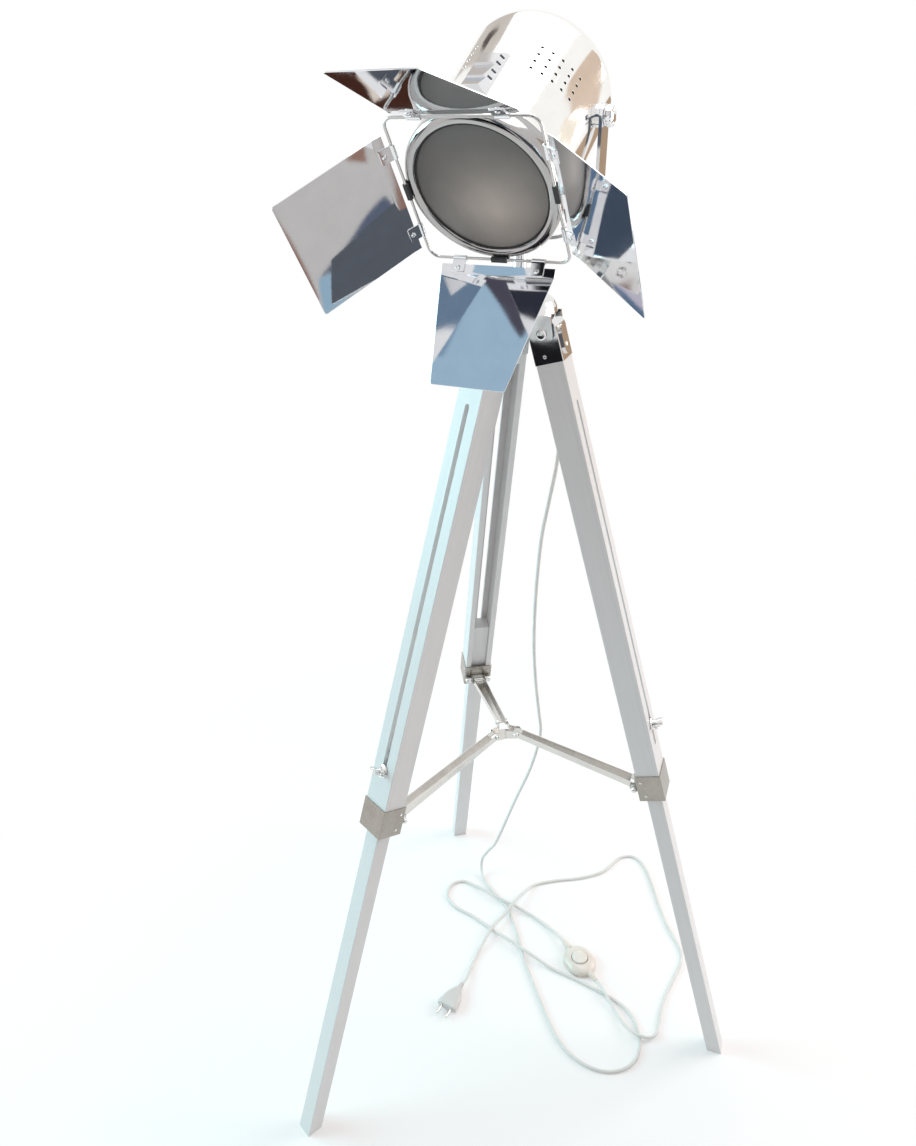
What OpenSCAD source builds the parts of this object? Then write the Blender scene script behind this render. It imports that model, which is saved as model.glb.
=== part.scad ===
// Tripod spotlight floor lamp: a tilting barrel lamp with four barn doors on a
// yoke, a cast tripod head, three telescoping slotted legs with a folding
// spreader, and a mains cord with a foot switch and a two-pin plug.
// Millimetres, +Z up. Origin on the floor at the middle of the box; the stem
// stands a little ahead of it, the back leg along +Y. The lamp points to the
// left front and down.

/* [Tripod legs] */
// Lean of each leg from upright, in degrees
leg_lean = 16.56; // [12:0.02:20]
// Radius of the leg line at the reference height
leg_radius = 76; // [66:1:86]
// Height of the reference point on the leg line
leg_height = 1120; // [1060:5:1180]
// Width of the upper leg, across the slot
upper_width = 46; // [42:1:52]
// Depth of the upper leg
upper_depth = 37; // [34:1:42]
// Thickness of the two side boards
side_board = 9; // [7:0.5:10]
// Thickness of the slotted outer board
slot_board = 6.2; // [5:0.1:6.2]
// Width of the lower leg
lower_width = 27.4; // [24:0.2:27.4]
// Depth of the lower leg
lower_depth = 24; // [20:0.5:24]
// Width of the slot
slot_width = 8.4; // [8:0.2:10]
// Distance down the leg to the top of the slot
slot_top = -28; // [-40:1:0]
// Distance down the leg to the bottom of the slot
slot_bottom = 523; // [520:1:530]
// Distance down the leg to the top of the lower leg
lower_top = 470; // [440:5:480]
// Distance down leg A to its lock bolt
lock_a = 512; // [490:1:514]
// Distance down leg B to its lock bolt
lock_b = 486; // [480:1:514]
// Distance down leg C to its lock bolt
lock_c = 505; // [490:1:514]

/* [Collars and spreader] */
// Distance down the leg to the top of the collar
collar_top = 567; // [560:1:570]
// Distance down the leg to the bottom of the collar
collar_bottom = 612; // [610:1:620]
// Height of the spreader hub
spreader_height = 589.5; // [580:0.5:600]
// Radius of the hub pivots
spreader_radius = 20; // [20:1:22]
// Height of the spreader channel
channel_height = 9; // [7:0.5:11]
// Sheet thickness of the spreader channel
channel_sheet = 1.4; // [1:0.1:2]

/* [Tripod head] */
// Radius of the cast head
head_radius = 52; // [48:1:56]
// Height of the underside of the cast head
head_bottom = 1262; // [1262:1:1266]
// Radius of the stem
stem_radius = 9; // [8:0.5:12]

/* [Lamp pose] */
// Height of the tilt axis
tilt_height = 1495; // [1480:1:1510]
// Turn of the lamp about the stem, in degrees
lamp_turn = -35.95; // [-180:0.05:180]
// Downward tilt of the lamp, in degrees
lamp_down = 33.18; // [-50:0.02:38]

/* [Lamp body] */
// Outer radius of the barrel
barrel_radius = 93; // [88:1:96]
// Front end of the barrel ahead of the tilt axis
barrel_front = 132; // [120:1:136]
// Rear end of the barrel behind the tilt axis
barrel_rear = 46; // [40:1:50]
// Depth of the domed back
dome_depth = 56; // [50:1:58]
// Sheet thickness of the barrel
barrel_sheet = 1.4; // [1:0.1:2]
// Radius of the lens opening
lens_opening = 80; // [76:1:82]
// Radius of a vent hole
vent_radius = 2.2; // [1.5:0.1:3]

/* [Barn doors] */
// Distance ahead of the tilt axis to the door frame
frame_ahead = 150; // [150:1:154]
// Side of the square door frame
frame_side = 185; // [176:1:190]
// Turn of the door frame about the lamp axis, in degrees
frame_roll = 2.3; // [-5:0.1:5]
// Radius of the frame rod
rod_radius = 1.8; // [1.5:0.1:2.4]
// Radius of the bend at the frame's corners
rod_bend = 13; // [10:1:15]
// Sheet thickness of a door
door_sheet = 1.2; // [0.8:0.1:1.5]
// Length of the top door from its hinge line
top_length = 170; // [140:1:175]
// Length of the bottom door from its hinge line
bottom_length = 165; // [140:1:175]
// Length of the left and right doors from their hinge lines
side_length = 155; // [140:1:165]
// Width of a door at its hinge
door_width = 150; // [140:1:152]
// Width of the far edge of the top and bottom doors
door_taper = 98; // [90:1:150]
// Opening of the top door from the frame's plane, in degrees
top_open = 44; // [0:1:90]
// Opening of the bottom door, in degrees
bottom_open = 67; // [45:1:90]
// Opening of the left door, in degrees
left_open = 57.5; // [0:0.5:90]
// Opening of the right door, in degrees
right_open = 39; // [0:1:90]

/* [Yoke] */
// Half the inner width of the yoke
yoke_half = 98; // [98:1:104]
// Drop from the tilt axis to the inside of the yoke
yoke_drop = 135.7; // [134:0.1:138]
// Thickness of the yoke bar
yoke_bar = 4; // [3:0.5:4]
// Width of the yoke bar
yoke_width = 26; // [20:1:30]

/* [Cord and switch] */
// Cord diameter
cord_diameter = 6; // [5:0.5:6]
// Half the length of the foot switch
switch_half = 35; // [30:1:38]
// Height of the foot switch body
switch_height = 17; // [15:1:20]

/* [Hidden] */

azimuths = [210, 330, 90];
chrome = [0.80, 0.80, 0.82];
white = [0.90, 0.90, 0.89];
dark = [0.10, 0.10, 0.10];

// Fold pivot of a leg, measured up the leg line from the reference point
pivot_up = 125.2;
cap_half_depth = upper_depth / 2 + 1.2;
cap_half_width = upper_width / 2 + 1.2;
collar_sheet = 1.8;
collar_bolt_at = 594.4;
collar_bolt_in = -27;
lock_at = [lock_a, lock_b, lock_c];
// Moves the whole lamp so that its box is centred on the origin
origin_shift = -47.6;
// Collar bolt in the leg's own upright plane: radius and height
bolt_r = leg_radius + collar_bolt_at * sin(leg_lean) + collar_bolt_in * cos(leg_lean);
bolt_z = leg_height - collar_bolt_at * cos(leg_lean) + collar_bolt_in * sin(leg_lean);
arm_run = bolt_r - spreader_radius;
arm_rise = spreader_height - bolt_z;
arm_length = sqrt(arm_run * arm_run + arm_rise * arm_rise);
arm_slope = atan(arm_rise / arm_run);
stem_top = tilt_height - yoke_drop - yoke_bar - 0.3;

// Free cord: hand-laid route points from the gland to the foot switch
cord_route = [[43, 61.4, 1270], [51, 73, 1267], [58, 81.5, 1257], [63, 85, 1241],
  [68, 86, 1216], [77, 86, 1188], [86, 86, 1144], [91, 82, 1084], [88, 78, 1019],
  [78, 80, 948], [71, 86, 885], [69, 95, 790], [72, 105, 690], [82, 118, 598],
  [94, 130, 524], [103, 142, 459], [94, 165, 365], [74, 195, 263], [49, 238, 122],
  [39, 259, 80], [33, 272, 56], [29, 281, 36], [26.5, 280, 18.5], [25.5, 270.5, 8.2],
  [26, 255, 3.7], [31, 236, 3.1], [39, 214, 3.1], [50, 191, 3.1],
  [60, 159, 3.1], [63, 116, 3.1], [63, 70, 3.1], [63, 24, 3.1], [68, -34, 3.1],
  [73, -88, 3.1], [80, -135, 3.1], [95, -172, 3.1], [120, -200, 3.1],
  [149, -215, 3.1], [181, -216, 3.1], [208, -201, 3.1], [225, -170, 3.1],
  [229, -130, 3.1], [216, -95, 3.1], [186, -62, 3.1], [148, -26, 3.1],
  [111, 5, 4], [85, 32, 8], [62, 58, 9.7], [41, 86, 8], [15, 120, 3.4],
  [-14, 158, 3.1], [-46, 190, 3.1], [-58, 222, 3.1], [-45, 250, 3.1],
  [-18, 256, 3.1], [4, 238, 4.2], [27, 212, 8], [49, 187, 9.7], [77, 163, 7],
  [108, 132, 3.6], [130, 100, 4.2], [144.5, 72.1, 7.2], [149.2, 58.9, 8]];
// From the foot switch to the plug
tail_route = [[184.8, -40.9, 8], [189.2, -54, 9.3], [193, -72, 9.7], [200, -105, 5],
  [208, -142, 7.5], [224, -165, 9.7], [244, -172, 7.5], [262, -161, 3.6],
  [280, -130, 3.1], [303, -96, 3.1], [340, -56, 3.1], [366, -24, 3.1], [373, 8, 3.1],
  [370, 54, 3.1], [373, 116, 3.1], [380, 178, 3.1], [381, 224, 3.1], [368, 252, 3.1],
  [341, 257, 3.1], [312, 240, 3.1], [284, 223, 3.1], [234, 216, 3.1], [178, 219, 3.1],
  [129, 215, 4], [95, 190, 10], [73, 168, 15.4], [61, 157, 13.5], [44, 143, 9.7],
  [16, 119, 9.7], [-3, 95, 7.5], [-24, 68, 3.6], [-44, 36, 3.8], [-56.7, 13, 6.8],
  [-66, 2.5, 8]];
cord_sides = 10;

switch_at = [167, 9, 0];
switch_turn = -70.4;
plug_back = [-66, 2.5, 0];
plug_turn = 228.5;

// ---------- small helpers ----------

// Point on a smooth curve between b and c
function curve_point(a, b, c, d, t) =
  0.5 * ((2 * b) + (c - a) * t + (2 * a - 5 * b + 4 * c - d) * t * t
  + (3 * b - a - 3 * c + d) * t * t * t);

// Route points with one smooth step added in every gap
function smooth_route(p) = [
  for (i = [0 : len(p) - 2])
    let (a = p[max(i - 1, 0)], b = p[i], c = p[i + 1], d = p[min(i + 2, len(p) - 1)])
      for (t = norm(c - b) > 26 ? [0, 0.5] : [0]) curve_point(a, b, c, d, t),
  p[len(p) - 1]];

function unit(v) = v / norm(v);

function tangent_at(p, i) = unit(p[min(i + 1, len(p) - 1)] - p[max(i - 1, 0)]);

// Side vector carried along the route without twist
function carried(p, i, side) =
  i >= len(p) ? [] :
    let (t = tangent_at(p, i), s = unit(side - t * (side * t)))
      concat([s], carried(p, i + 1, s));

module cord_tube(route, first_side) {
  p = smooth_route(route);
  s = carried(p, 0, first_side);
  n = cord_sides;
  r = cord_diameter / 2;
  ring_points = [for (i = [0 : len(p) - 1])
    let (t = tangent_at(p, i), b = cross(t, s[i]))
      for (k = [0 : n - 1]) p[i] + r * (cos(k * 360 / n) * s[i] + sin(k * 360 / n) * b)];
  last = len(p) - 1;
  walls = [for (i = [0 : last - 1]) for (k = [0 : n - 1])
    let (a = i * n + k, b = i * n + (k + 1) % n)
      each [[a, a + n, b + n], [a, b + n, b]]];
  polyhedron(points = ring_points, faces = concat(
    [[for (k = [0 : n - 1]) k]], walls, [[for (k = [n - 1 : -1 : 0]) last * n + k]]));
}

// The stand's own frame, with the stem on its Z axis
module on_stand() {
  translate([0, origin_shift, 0]) children();
}

// A leg's own frame: X out of the slotted face, Y across it, Z up the leg
module on_leg(i) {
  on_stand() rotate([0, 0, azimuths[i]])
    translate([leg_radius, 0, leg_height])
      rotate([0, -leg_lean, 0])
        children();
}

// The lamp's own frame: X to its right seen from ahead, Y up, Z out of the lens
module on_lamp() {
  on_stand() translate([0, 0, tilt_height])
    rotate([0, 0, lamp_turn])
      rotate([90 + lamp_down, 0, 0])
        children();
}

// Rectangle with small chamfers on its four corners
module board(depth, width, chamfer) {
  offset(delta = chamfer, chamfer = true)
    square([depth - 2 * chamfer, width - 2 * chamfer], center = true);
}

// Cylinder along X from x0 to x1
module bar_x(radius, x0, x1, sides = 32) {
  translate([x0, 0, 0])
    rotate([0, 90, 0])
      cylinder(r = radius, h = x1 - x0, $fn = sides);
}

// Cylinder along Y from y0 to y1
module bar_y(radius, y0, y1, sides = 32) {
  translate([0, y0, 0])
    rotate([-90, 0, 0])
      cylinder(r = radius, h = y1 - y0, $fn = sides);
}

// ---------- tripod head ----------

// Cast head: a low rounded crown with a fork of two rounded cheeks for each leg
module tripod_head() {
  color(chrome) difference() {
    on_stand() {
      rotate_extrude($fn = 60)
        polygon([[0, head_bottom], [head_radius - 2, head_bottom],
          [head_radius, head_bottom + 3], [head_radius - 1, head_bottom + 10],
          [head_radius - 5, head_bottom + 17], [head_radius - 14, head_bottom + 23],
          [26, head_bottom + 27], [17, head_bottom + 28], [16, head_bottom + 32],
          [0, head_bottom + 32]]);
      for (a = azimuths) rotate([0, 0, a])
        for (s = [-1, 1]) translate([0, s * 27, 0]) fork_cheek();
    }
    for (i = [0 : 2]) on_leg(i) translate([0, 0, pivot_up]) bar_y(4, -40, 40);
    on_stand() translate([0, 0, head_bottom + 20])
      cylinder(r = stem_radius, h = 20, $fn = 40);
  }
}

module fork_cheek() {
  pr = leg_radius - pivot_up * sin(leg_lean);
  pz = leg_height + pivot_up * cos(leg_lean);
  translate([0, 2.3, 0]) rotate([90, 0, 0]) linear_extrude(4.6) {
    translate([pr, pz]) circle(r = 15, $fn = 40);
    polygon([[pr - 15, pz], [pr + 15, pz], [pr + 11, head_bottom + 2],
      [pr - 18, head_bottom + 2]]);
  }
}

// Stem with the swivel seat and the pan bolt that the yoke turns on
module stem() {
  color(chrome) on_stand() {
    rotate_extrude($fn = 40)
      polygon([[0, head_bottom + 20], [stem_radius, head_bottom + 20],
        [stem_radius, stem_top - 12], [16, stem_top - 5], [17, stem_top - 4],
        [17, stem_top], [6, stem_top], [6, stem_top + yoke_bar + 0.6],
        [11, stem_top + yoke_bar + 0.6], [11, stem_top + yoke_bar + 3],
        [9, stem_top + yoke_bar + 4.6], [0, stem_top + yoke_bar + 4.6]]);
  }
}

// Bolts that the three legs fold on
module hinge_bolts() {
  color(chrome) for (i = [0 : 2]) on_leg(i) translate([0, 0, pivot_up]) {
    bar_y(4, -29.3, 29.3);
    for (s = [-1, 1]) scale([1, s, 1]) translate([0, 29.3, 0]) rotate([-90, 0, 0])
      rotate_extrude($fn = 28) polygon([[0, 0], [7, 0], [7, 1.6], [5, 3.4], [0, 4]]);
  }
}

// ---------- legs ----------

// Folded cap over the leg's top, with its rounded eye and outer tongue
module leg_cap(i) {
  color(dark) on_leg(i) difference() {
    union() {
      translate([0, 0, 86]) linear_extrude(pivot_up - 86)
        board(2 * cap_half_depth, 2 * cap_half_width, 1.2);
      translate([0, 0, pivot_up]) bar_y(cap_half_depth, -cap_half_width, cap_half_width, 48);
      translate([cap_half_depth - 0.5, 0, 0]) rotate([0, 90, 0]) linear_extrude(3) {
        translate([-104, 0]) circle(r = 13, $fn = 40);
        translate([-118, 0]) circle(r = 13, $fn = 40);
        translate([-118, -13]) square([14, 26]);
      }
    }
    translate([0, 0, 80]) linear_extrude(32) board(upper_depth, upper_width, 1);
    translate([0, 0, pivot_up]) bar_y(4.06, -30, 30);
  }
}

// Upper leg: three boards, open on the inner side, slotted on the outer
module upper_leg(i) {
  color(white) on_leg(i) difference() {
    translate([0, 0, -609]) linear_extrude(609 + 112) board(upper_depth, upper_width, 1);
    translate([-upper_depth / 2 - 1, side_board - upper_width / 2, -620])
      cube([upper_depth + 1 - slot_board, upper_width - 2 * side_board, 690]);
    translate([0, 0, -slot_bottom + slot_width / 2]) bar_x(slot_width / 2, 8, 24);
    translate([0, 0, -slot_top - slot_width / 2]) bar_x(slot_width / 2, 8, 24);
    translate([8, -slot_width / 2, -slot_bottom + slot_width / 2])
      cube([16, slot_width, slot_bottom - slot_top - slot_width]);
  }
}

// Sheet collar round the foot of the upper leg, with the spreader's clevis
module collar(i) {
  color(chrome) on_leg(i) difference() {
    union() {
      translate([0, 0, -collar_bottom]) linear_extrude(collar_bottom - collar_top)
        board(upper_depth + 2 * collar_sheet, upper_width + 2 * collar_sheet, 1.4);
      for (s = [-1, 1]) translate([0, s * 12.2 + 1, -collar_bolt_at]) rotate([90, 0, 0])
        linear_extrude(2) {
          translate([collar_bolt_in, 0]) circle(r = 8, $fn = 36);
          translate([collar_bolt_in, -8]) square([10, 16]);
        }
    }
    translate([0, 0, -609]) linear_extrude(60) board(upper_depth, upper_width, 1);
    translate([-12.4, -14.1, -620]) cube([24.8, 28.2, 20]);
    translate([collar_bolt_in, 0, -collar_bolt_at]) bar_y(3, -15, 15);
  }
}

// Cross bolt of the clevis with a washer and an acorn nut at each end
module collar_bolts(i) {
  color(chrome) on_leg(i) translate([collar_bolt_in, 0, -collar_bolt_at]) {
    bar_y(3, -13.2, 13.2);
    for (s = [-1, 1]) scale([1, s, 1]) translate([0, 13.2, 0]) rotate([-90, 0, 0]) {
      cylinder(r = 6.2, h = 1.2, $fn = 24);
      cylinder(r = 5.6, h = 5.4, $fn = 6);
      rotate_extrude($fn = 20)
        polygon([[0, 5], [4.7, 5], [4.6, 7], [3.6, 9.2], [1.8, 10.5], [0, 10.8]]);
    }
  }
}

// Lower leg, cut level at the floor
module lower_leg(i) {
  color(white) difference() {
    on_leg(i) difference() {
      translate([0, 0, -1190]) linear_extrude(1190 - lower_top)
        board(lower_depth, lower_width, 0.8);
      translate([0, 0, -lock_at[i]]) bar_x(3.6, 0, 20);
    }
    translate([-600, -600, -100]) cube([1200, 1200, 100]);
  }
}

// Stud fixed in the lower leg that stands out through the slot
module lock_bolt(i) {
  color(chrome) on_leg(i) translate([0, 0, -lock_at[i]]) bar_x(3.6, 0, 36);
}

// Wing nut with its washer face, threaded on the stud
module wing_nut(i) {
  color(chrome) on_leg(i) translate([0, 0, -lock_at[i]]) difference() {
    union() {
      translate([18.9, 0, 0]) rotate([0, 90, 0]) rotate_extrude($fn = 32)
        polygon([[0, 0], [9.5, 0], [9.5, 1.4], [6.6, 1.9], [5.6, 9.5], [0, 9.5]]);
      for (s = [-1, 1]) scale([1, s, 1]) wing_lobe();
    }
    bar_x(3.66, 10, 40);
  }
}

module wing_lobe() {
  translate([0, 0, 1.3]) rotate([180, 0, 0]) linear_extrude(2.6) hull() {
    translate([23.5, -6]) circle(r = 3.2, $fn = 20);
    translate([31, -12]) circle(r = 4.2, $fn = 24);
  }
}

// ---------- spreader ----------

// Three-way fork: bent cheeks outside each channel on a small base plate
module spreader_hub() {
  color(chrome) on_stand() translate([0, 0, spreader_height]) {
    translate([0, 0, -9.2]) cylinder(r = 12, h = 2, $fn = 40);
    for (a = azimuths) rotate([0, 0, a]) for (s = [-1, 1])
      translate([0, s * 8.6 + 0.7, 0]) rotate([90, 0, 0]) linear_extrude(1.4) {
        translate([spreader_radius, 0]) circle(r = 6, $fn = 32);
        polygon([[5.9, -8.4], [12.5, -8.4], [spreader_radius + 3, -4.8],
          [spreader_radius + 1, 5], [5.9, 5]]);
      }
    for (a = azimuths) rotate([0, 0, a]) for (s = [-1, 1])
      translate([spreader_radius, s * 9.2, 0]) scale([1, s, 1]) rotate([-90, 0, 0])
        cylinder(r1 = 3.2, r2 = 2.2, h = 1.9, $fn = 20);
  }
}

// Folded channel, open on top, wider at the collar, with rounded flange ends
module spreader_arm(i) {
  l = arm_length;
  color(chrome) on_stand() rotate([0, 0, azimuths[i]]) translate([bolt_r, 0, bolt_z])
    rotate([0, 0, 180]) rotate([0, -arm_slope, 0]) difference() {
      intersection() {
        translate([0, 0, -channel_height / 2]) linear_extrude(channel_height)
          polygon([[-6, -10.8], [l + 6, -7], [l + 6, 7], [-6, 10.8]]);
        translate([0, 12, 0]) rotate([90, 0, 0]) linear_extrude(24) {
          circle(r = channel_height / 2, $fn = 28);
          translate([l, 0]) circle(r = channel_height / 2, $fn = 28);
          translate([0, -channel_height / 2]) square([l, channel_height]);
        }
      }
      translate([0, 0, channel_sheet - channel_height / 2]) linear_extrude(channel_height)
        polygon([[-20, -11.04 + channel_sheet], [l + 20, -6.74 + channel_sheet],
          [l + 20, 6.74 - channel_sheet], [-20, 11.04 - channel_sheet]]);
      translate([-10, -8.8, -6]) cube([19, 17.6, 12]);
      translate([l - 8, -5.2, -6]) cube([20, 10.4, 12]);
      bar_y(3.06, -20, 20);
    }
}

// ---------- yoke ----------

module yoke_outline(half, low, bend) {
  hull() {
    for (s = [-1, 1]) translate([s * (half - bend), -low + bend]) circle(r = bend, $fn = 64);
    translate([-half, 0]) square([2 * half, 14]);
  }
}

// Flat bar bent to a deep U, with round eyes at its tops
module yoke() {
  color(chrome) on_stand() translate([0, 0, tilt_height]) rotate([0, 0, lamp_turn]) difference() {
    intersection() {
      translate([0, yoke_width / 2, 0]) rotate([90, 0, 0]) linear_extrude(yoke_width)
        difference() {
          yoke_outline(yoke_half + yoke_bar, yoke_drop + yoke_bar, 62);
          yoke_outline(yoke_half, yoke_drop, 58);
          translate([-yoke_half, -20]) square([2 * yoke_half, 40]);
        }
      union() {
        bar_x(yoke_width / 2, -120, 120, 48);
        translate([-120, -yoke_width / 2, -160]) cube([240, yoke_width, 160]);
      }
    }
    bar_x(4.06, -120, 120);
    translate([0, 0, -160]) cylinder(r = 6.06, h = 60, $fn = 32);
  }
}

// Bosses on the barrel with the studs that it tilts on
module tilt_pivots() {
  color(chrome) on_lamp() {
    difference() {
      for (s = [-1, 1]) scale([s, 1, 1]) bar_x(13, 88, yoke_half - 0.3, 40);
      cylinder(r = barrel_radius, h = 60, center = true, $fn = 72);
    }
    for (s = [-1, 1]) scale([s, 1, 1]) bar_x(4, yoke_half - 1, 111);
  }
}

// Lobed hand knob with a blind bore
module hand_knob(s) {
  color(chrome) on_lamp() scale([s, 1, 1]) difference() {
    union() {
      bar_x(11, yoke_half + yoke_bar + 0.4, yoke_half + yoke_bar + 2, 32);
      translate([yoke_half + yoke_bar + 2, 0, 0]) rotate([0, 90, 0]) {
        linear_extrude(6.6) {
          circle(r = 9.5, $fn = 32);
          for (a = [0 : 60 : 300]) rotate(a) translate([9.5, 0]) circle(r = 3, $fn = 16);
        }
        translate([0, 0, 6.6]) cylinder(r1 = 9, r2 = 6.5, h = 2.2, $fn = 32);
      }
    }
    bar_x(4.06, 90, 111.4);
  }
}

// ---------- lamp body ----------

// Rolled sheet barrel with a field of vent holes on each upper flank
module barrel() {
  color(chrome) on_lamp() difference() {
    rotate_extrude($fn = 72)
      polygon([[barrel_radius - barrel_sheet, -barrel_rear], [barrel_radius, -barrel_rear],
        [barrel_radius, barrel_front], [barrel_radius - barrel_sheet, barrel_front]]);
    for (side = [0, 1]) mirror([side, 0, 0])
      for (a = [31.2 : 8.3 : 65]) for (z = [7 : 13 : 46])
        rotate([0, 0, a]) translate([0, 0, z]) bar_x(vent_radius, 85, 99, 14);
  }
}

// Spun back, a flattened dome with a lip inside the barrel
module rear_dome() {
  t = barrel_sheet;
  color(chrome) on_lamp() rotate_extrude($fn = 72) polygon(concat(
    [for (a = [0 : 10 : 90]) [barrel_radius * cos(a), -barrel_rear - dome_depth * sin(a)]],
    [for (a = [90 : -10 : 0])
      [(barrel_radius - t) * cos(a) - (a == 0 ? t : 0), -barrel_rear - (dome_depth - t) * sin(a)]],
    [[barrel_radius - 2 * t, -barrel_rear + 9], [barrel_radius - t, -barrel_rear + 9],
      [barrel_radius - t, -barrel_rear]]));
}

// Front ring that holds the lens
module bezel() {
  b = barrel_radius;
  color(chrome) on_lamp() rotate_extrude($fn = 72)
    polygon([[b, 122], [b + 1.4, 122], [b + 1.4, 141], [b + 0.4, 144.6], [b - 2.4, 147],
      [b - 6, 148], [b - 9.5, 147.6], [lens_opening + 0.8, 146.4], [lens_opening, 144.9],
      [lens_opening + 0.6, 143.6], [b - 1.8, 143.6], [b - 1.8, 132.2], [b, 132.2]]);
}

// Frosted, slightly domed glass
module lens() {
  color([0.75, 0.74, 0.72, 0.6]) on_lamp() rotate_extrude($fn = 72)
    polygon([[0, 140.6], [90, 140.6], [90, 143.6], [78.5, 143.6], [62, 145.2],
      [42, 146.5], [21, 147.2], [0, 147.4]]);
}

// Spun bowl behind the lens
module reflector() {
  outer = [for (k = [0 : 6]) let (r = 20 + 62 * k / 6) [r, 44 + 92 * pow((r - 20) / 62, 1.8)]];
  color(chrome) on_lamp() rotate_extrude($fn = 60) polygon(concat(
    [for (p = outer) p], [[88, 136], [88, 140.6], [91.2, 140.6], [91.2, 134.6]],
    [for (k = [6 : -1 : 0]) outer[k] + [1.2, -1.2]]));
}

// Lamp holder in the reflector's neck
module lamp_socket() {
  color(dark) on_lamp() rotate_extrude($fn = 32)
    polygon([[0, 6], [17, 6], [20, 10], [20, 44], [15, 44], [15, 26], [0, 26]]);
}

module bulb() {
  color([0.95, 0.93, 0.88, 0.8]) on_lamp() rotate_extrude($fn = 32)
    polygon(concat([[0, 26], [13, 26], [13, 50]],
      [for (a = [-50 : 20 : 90]) [29 * cos(a), 84 + 29 * sin(a)]]));
}

// Raised vent cowl on the barrel's crest: three stepped louvres, sloping sides
// with four side openings each
module top_cowl() {
  color(chrome) on_lamp() rotate([0, 0, frame_roll]) difference() {
    intersection() {
      rotate([0, -90, 0]) linear_extrude(40, center = true)
        polygon([[38, 86], [38, 95], [43, 99], [67, 102], [67, 99], [92, 102.6],
          [92, 99.6], [108, 102.4], [111, 97], [111, 86]]);
      translate([0, 0, 20]) linear_extrude(100)
        polygon([[-18.5, 86], [18.5, 86], [18.5, 92], [9.5, 103], [-9.5, 103], [-18.5, 92]]);
    }
    cylinder(r = barrel_radius, h = 300, center = true, $fn = 72);
    for (s = [-1, 1]) for (z = [50, 62, 77, 89])
      translate([s * 14.6, 97, z]) rotate([0, 0, s * -50]) cube([6, 3, 5], center = true);
  }
}

// ---------- barn doors ----------

// The door frame's own frame, at the front of the lamp
module on_frame() {
  on_lamp() translate([0, 0, frame_ahead]) rotate([0, 0, frame_roll]) children();
}

// Bent rod, one closed square loop
module door_frame() {
  h = frame_side / 2;
  color(chrome) on_frame() for (a = [0 : 90 : 270]) rotate([0, 0, a]) {
    translate([0, h, 0]) bar_x(rod_radius, -h + rod_bend, h - rod_bend, 16);
    translate([h - rod_bend, h - rod_bend, 0]) rotate_extrude(angle = 90, $fn = 32)
      translate([rod_bend, 0]) circle(r = rod_radius, $fn = 16);
  }
}

// Three moulded clips that hook the rod over the bezel's rim
module frame_clips() {
  h = frame_side / 2;
  low = barrel_radius + 1.35;
  color(dark) on_frame() for (a = [90, 180, 270]) rotate([0, 0, a]) difference() {
    rotate([90, 0, 90]) linear_extrude(20, center = true)
      polygon([[h - 2.9, 147.95 - frame_ahead], [low, 147.95 - frame_ahead],
        [low, 139 - frame_ahead], [h + 3.6, 139 - frame_ahead], [h + 3.6, 1.6],
        [h + 2.6, 2.7], [h - 1.9, 2.7], [h - 2.9, 1.6]]);
    translate([0, h, 0]) bar_x(rod_radius + 0.02, -20, 20, 16);
  }
}

// One door: a hinge strip with two knuckles curled round the rod, then the
// leaf, bent a little from the strip
module door(open, long, far_width) {
  t = door_sheet / 2;
  strip = 19;
  bend = 8;
  w = door_width / 2;
  f = far_width / 2;
  leaf = long - strip;
  end = [strip + leaf * cos(bend), leaf * sin(bend)];
  off = t * [-sin(bend), cos(bend)];
  rotate([open - 6, 0, 0]) difference() {
    union() {
      intersection() {
        rotate([90, 0, 90]) linear_extrude(2 * w + 4, center = true)
          polygon([[8, -t], [strip + t * tan(bend / 2), -t], end - off, end + off,
            [strip - t * tan(bend / 2), t], [8, t]]);
        translate([0, 0, -5]) linear_extrude(60)
          polygon([[-w, 0], [w, 0], [w, strip], [f, end[0] - 2], [f - 2, end[0] + 2],
            [2 - f, end[0] + 2], [-f, end[0] - 2], [-w, strip]]);
      }
      for (s = [-1, 1]) translate([s * 52, 0, 0]) {
        bar_x(rod_radius + 1.5, -8, 8, 24);
        translate([-8, 0, -t]) cube([16, 9, 2 * t]);
        translate([-9, 7, t - 0.1]) cube([18, 11, 1]);
        translate([0, 13, t + 0.8]) cylinder(r1 = 3.2, r2 = 2.2, h = 1.8, $fn = 20);
      }
    }
    bar_x(rod_radius + 0.06, -90, 90, 16);
  }
}

// The doors stand on the four sides of the frame
module door_on(turn, open, long, far_width) {
  color(chrome) on_frame() rotate([0, 0, turn]) translate([0, frame_side / 2, 0])
    door(open, long, far_width);
}

// ---------- cord, foot switch and plug ----------

// Gland on the cast head with a tapered strain relief
module cable_gland() {
  color(dark) on_stand() rotate([0, 0, 55]) translate([0, 0, 1270]) rotate([0, 90, 0]) {
    translate([0, 0, head_radius - 3]) cylinder(r = 6.5, h = 7, $fn = 6);
    translate([0, 0, head_radius + 4]) cylinder(r1 = 5.2, r2 = 3.6, h = 19, $fn = 24);
  }
}

module cord() {
  color(white) on_stand() cord_tube(cord_route, [0, 0, 1]);
}

module cord_tail() {
  color(white) on_stand() cord_tube(tail_route, [0, 0, 1]);
}

module on_switch() {
  on_stand() translate(switch_at) rotate([0, 0, switch_turn]) children();
}

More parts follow.
